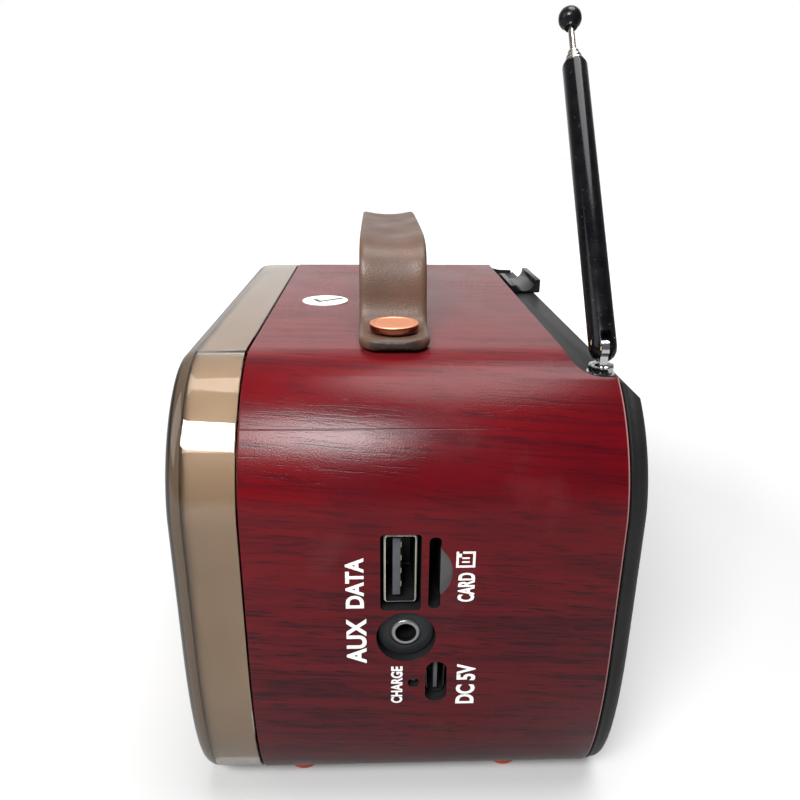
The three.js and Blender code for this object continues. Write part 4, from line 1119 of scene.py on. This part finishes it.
# ---- Telescopic antenna ----
# A chrome swivel with a fluted ball stands in the shelf, and its tongue carries the lacquered brass tube on a
# pin. Thin nickel tubes slide in one another above it and end in a black knob on the innermost rod.
PIVOT = Vector((*SWIVEL, 85.5))
DRAWN = Vector((-0.59622, 0, 0.80282))
chrome = finish("chrome", (0.72, 0.72, 0.73), (0.60, 0.60, 0.61), 0.12, 0.22, 5, 0.2, 0.004, Metallic=1.0)
nickel = finish("nickel", (0.66, 0.62, 0.57), (0.55, 0.51, 0.46), 0.16, 0.30, 5, 0.2, 0.006, Metallic=1.0)


def make_lacquer():
    """Black lacquer over brass, with dust specks and a few chips near the elbow."""
    made, tree, shader = new_material("black_lacquer")
    grain = variation(tree, 4, 0.5)
    place = wire(tree, "ShaderNodeTexCoord").outputs["Object"]
    height = wire(tree, "ShaderNodeSeparateXYZ", None, {0: place}).outputs["Z"]
    spots = wire(tree, "ShaderNodeTexNoise", None,
                 {"Vector": place, "Scale": 1100.0, "Detail": 1.0}).outputs[0]
    near = spread(tree, height, 0.086, 0.095, 1.0, 0.0)
    chips = math_node(tree, "MULTIPLY", spread(tree, spots, 0.72, 0.735), near)
    dust = math_node(tree, "MULTIPLY", spread(tree, grain.outputs["Speckle"], 0.96, 1.0), 0.08)
    black = mix_colour(tree, grain.outputs["Blotch"], (0.002, 0.002, 0.003), (0.005, 0.005, 0.006))
    dusty = mix_colour(tree, dust, black, (0.25, 0.24, 0.23))
    tree.links.new(mix_colour(tree, chips, dusty, (0.42, 0.27, 0.15)), shader.inputs["Base Color"])
    tree.links.new(spread(tree, grain.outputs["Blotch"], 0, 1, 0.10, 0.2), shader.inputs["Roughness"])
    bump(tree, shader, math_node(tree, "MULTIPLY", chips, -1.0), 0.03)
    shader.inputs["Specular IOR Level"].default_value = 0.2
    return made


lacquer = make_lacquer()


def upright(name, profile, segments=48, flutes=0, flute_depth=0.0, flute_span=(0, 0)):
    """A solid turned about +Z at the origin from (radius, height) pairs, with flutes if asked."""
    rings = []
    for radius, height in profile:
        ring = []
        for step in range(segments):
            angle = step / segments * 2 * math.pi
            cut = 0
            if flutes and flute_span[0] < height < flute_span[1]:
                cut = flute_depth * (0.5 + 0.5 * math.cos(angle * flutes))
            reach = radius - cut
            ring.append(Vector((reach * math.cos(angle), reach * math.sin(angle), height)) * MM)
        rings.append(ring)
    return loft(name, rings)


def swivel():
    turns = [math.pi * (0.24 + 0.045 * step) for step in range(12)]
    ball = [(2.2 * math.sin(t), 82.4 - 2.2 * math.cos(t)) for t in turns]
    profile = [(1.2, 73.8), (1.2, 81.1), (2.35, 81.12), (2.35, 81.4), (1.7, 81.5)]
    profile += [(r, z) for r, z in ball if 81.5 < z < 82.6] + [(2.0, 82.72), (1.6, 82.88), (1.2, 82.98)]
    piece = upright("antenna_swivel_stem", profile, 60, 10, 0.2, (81.6, 84.1))
    piece.location = Vector((PIVOT.x, PIVOT.y, 0)) * MM
    apply_all(piece)
    faces = (PIVOT.y - 0.65, PIVOT.y + 0.65)
    tongue = rod("tongue", "y", 1.7, *faces, (PIVOT.x, PIVOT.z), 40)
    root = block("root", (PIVOT.x - 1.25, PIVOT.x + 1.25), faces, (82.3, PIVOT.z))
    carve(piece, tongue, root, operation="UNION")
    return carve(piece, rod("eye", "y", 0.75, 30, 40, (PIVOT.x, PIVOT.z), 24))


dress(swivel(), "antenna_swivel", "chrome", "antenna_base", material=chrome)


def lean(piece):
    """Leans a piece that was made standing at the origin along the antenna and moves it to the elbow."""
    piece.rotation_euler.y = math.atan2(DRAWN.x, DRAWN.z)
    piece.location = PIVOT * MM
    apply_all(piece)
    return piece


def barrel_tube():
    profile = [(0.4, -2.3), (1.1, -2.15), (1.75, -1.65), (2.15, -0.9), (2.33, 0), (2.35, 1), (2.35, 57.1),
               (2.25, 57.5)]
    tube = upright("lacquered_tube", profile)
    carve(tube, rod("bore", "z", 2.0, 6, 60, (0, 0), 40))
    carve(tube, block("fork", (-4, 4), (-0.9, 0.9), (-4, 2.3)), rod("eye", "y", 0.75, -4, 4, (0, 0), 24))
    return lean(tube)


dress(barrel_tube(), "antenna_barrel", "black_lacquer", "antenna_tube", material=lacquer)
pin = lean(rod("elbow_pin", "y", 0.5, -2.25, 2.25, (0, 0), 24))
dress(pin, "antenna_barrel", "chrome", "antenna_pin", material=chrome)

for index, (radius, bore) in enumerate(((1.85, 1.6), (1.45, 1.2), (1.05, 0.8))):
    top = 57.5 + 1.1 * (index + 1)
    foot_end = 6 + 0.8 * (index + 1)
    neck = radius - 0.13
    profile = [(radius, foot_end), (radius, top - 1.05), (neck, top - 0.98), (neck, top - 0.62),
               (radius, top - 0.55), (radius, top - 0.25), (radius - 0.15, top)]
    tube = upright(f"nickel_tube_{index + 1}", profile, 40)
    carve(tube, rod("bore", "z", bore, foot_end + 0.5, top + 1, (0, 0), 32))
    dress(lean(tube), f"section_{index + 1}", "chrome", f"antenna_section_{index + 1}", material=nickel)

inner_rod = lean(rod("inner_rod", "z", 0.6, 14, 67, (0, 0), 28))
dress(inner_rod, "tip_rod", "chrome", "antenna_rod", material=nickel)
knob_profile = [(0.9, 66.2), (1.2, 66.25), (1.45, 66.9), (1.95, 67.35), (2.2, 67.95), (2.25, 68.6),
                (2.15, 69.3), (1.8, 69.95), (1.2, 70.4), (0.5, 70.58)]
tip_knob = upright("tip_knob", knob_profile)
carve(tip_knob, rod("recess", "z", 0.7, 60, 67.3, (0, 0), 24))
dress(lean(tip_knob), "tip_rod", "black_lacquer", "antenna_tip", material=gloss_black)

# ---- Parts inside the case ----
# Pressed steel basket, paper cone and magnet, two circuit boards, a wrapped cell, controls and fastenings.
# They are seen only through the sockets, the grille and the dial window, and keep their plain solids.
board_green = finish("circuit_board", (0.012, 0.075, 0.035), (0.008, 0.05, 0.024), 0.3, 0.45, 6, 0.3, 0.02)
paper_black = finish("cone_paper", (0.03, 0.03, 0.032), (0.018, 0.018, 0.02), 0.8, 0.95, 6, 0.4, 0.05)
wrap_blue = finish("battery_wrap", (0.02, 0.09, 0.30), (0.015, 0.07, 0.23), 0.3, 0.42, 10, 0.3, 0.01)
INSIDE = {
    "speaker_basket": steel, "speaker_magnet": steel, "speaker_cone": paper_black, "battery": wrap_blue,
    "main_board": board_green, "button_board": board_green, "volume_control": steel,
    "tuning_capacitor": cream, "volume_shaft": steel, "tuning_shaft": steel, "antenna_nut": steel,
    "strap_nut_left": steel, "strap_nut_right": steel,
}
for name, material in INSIDE.items():
    with_material(bpy.data.objects[name], material)

# ---- Floor and light ----
# A pale sheet that runs out of sight, with a painted shadow darkening it round the case, under a broad
# overhead light and two softboxes, one beyond the socket end and one before the front. The room is bright
# behind the far end and dim behind the camera.
bpy.ops.mesh.primitive_plane_add(size=8, location=(0, 0, 0))
floor = bpy.context.object
floor.name = "floor"
floor_paper, floor_tree, floor_shader = new_material("floor_paper")
floor_seen = wire(floor_tree, "ShaderNodeLightPath").outputs["Is Camera Ray"]
floor_place = wire(floor_tree, "ShaderNodeTexCoord").outputs["Object"]
floor_length = wire(floor_tree, "ShaderNodeVectorMath", {"operation": "LENGTH"}, {0: floor_place})
# Painted shadow: for camera rays the floor is darker grey close round the case, going to pale further out.
floor_shadow_falloff = spread(floor_tree, floor_length.outputs["Value"], 0.13, 0.40)
floor_painted_shadow_tone = mix_colour(floor_tree, floor_shadow_falloff, (0.50, 0.50, 0.50), (0.95, 0.95, 0.95))
floor_tree.links.new(mix_colour(floor_tree, floor_seen, (0.28, 0.28, 0.28), floor_painted_shadow_tone),
                     floor_shader.inputs["Base Color"])
floor_shader.inputs["Roughness"].default_value = 0.9
floor.data.materials.append(floor_paper)


def softbox(name, place, aim, width, height, power):
    light = bpy.data.lights.new(name, "AREA")
    light.shape = "RECTANGLE"
    light.size = width
    light.size_y = height
    light.energy = power
    lamp = bpy.data.objects.new(name, light)
    bpy.context.collection.objects.link(lamp)
    lamp.location = place
    lamp.rotation_euler = (Vector(aim) - Vector(place)).to_track_quat("-Z", "Y").to_euler()


softbox("softbox_end", (0.55, -0.24, 0.60), (0, 0, 0.06), 0.40, 0.26, 10)
softbox("softbox_front", (0.2, -0.8, 0.5), (0, 0, 0.04), 0.5, 0.6, 2.0)

overhead = bpy.data.lights.new("overhead", "SUN")
overhead.energy = 2.7
overhead.angle = math.radians(40)
overhead_lamp = bpy.data.objects.new("overhead", overhead)
bpy.context.collection.objects.link(overhead_lamp)
overhead_lamp.rotation_euler = (math.radians(-8), math.radians(-4), 0)

world = bpy.data.worlds.new("studio")
bpy.context.scene.world = world
world.use_nodes = True
sky = world.node_tree
seen = wire(sky, "ShaderNodeLightPath").outputs["Is Camera Ray"]
background = sky.nodes["Background"]
background.inputs["Color"].default_value = (1, 1, 1, 1)
heading = wire(sky, "ShaderNodeTexCoord").outputs["Generated"]
heading_axes = wire(sky, "ShaderNodeSeparateXYZ", None, {0: heading})
lengthwise = spread(sky, heading_axes.outputs["X"], -0.9, 0.2, 0.78, 0.12)
sideways = math_node(sky, "ABSOLUTE", heading_axes.outputs["Y"])
around = math_node(sky, "MULTIPLY", lengthwise, spread(sky, sideways, 0.35, 0.7, 1.0, 0.3))
sky.links.new(math_node(sky, "MAXIMUM", seen, around), background.inputs["Strength"])
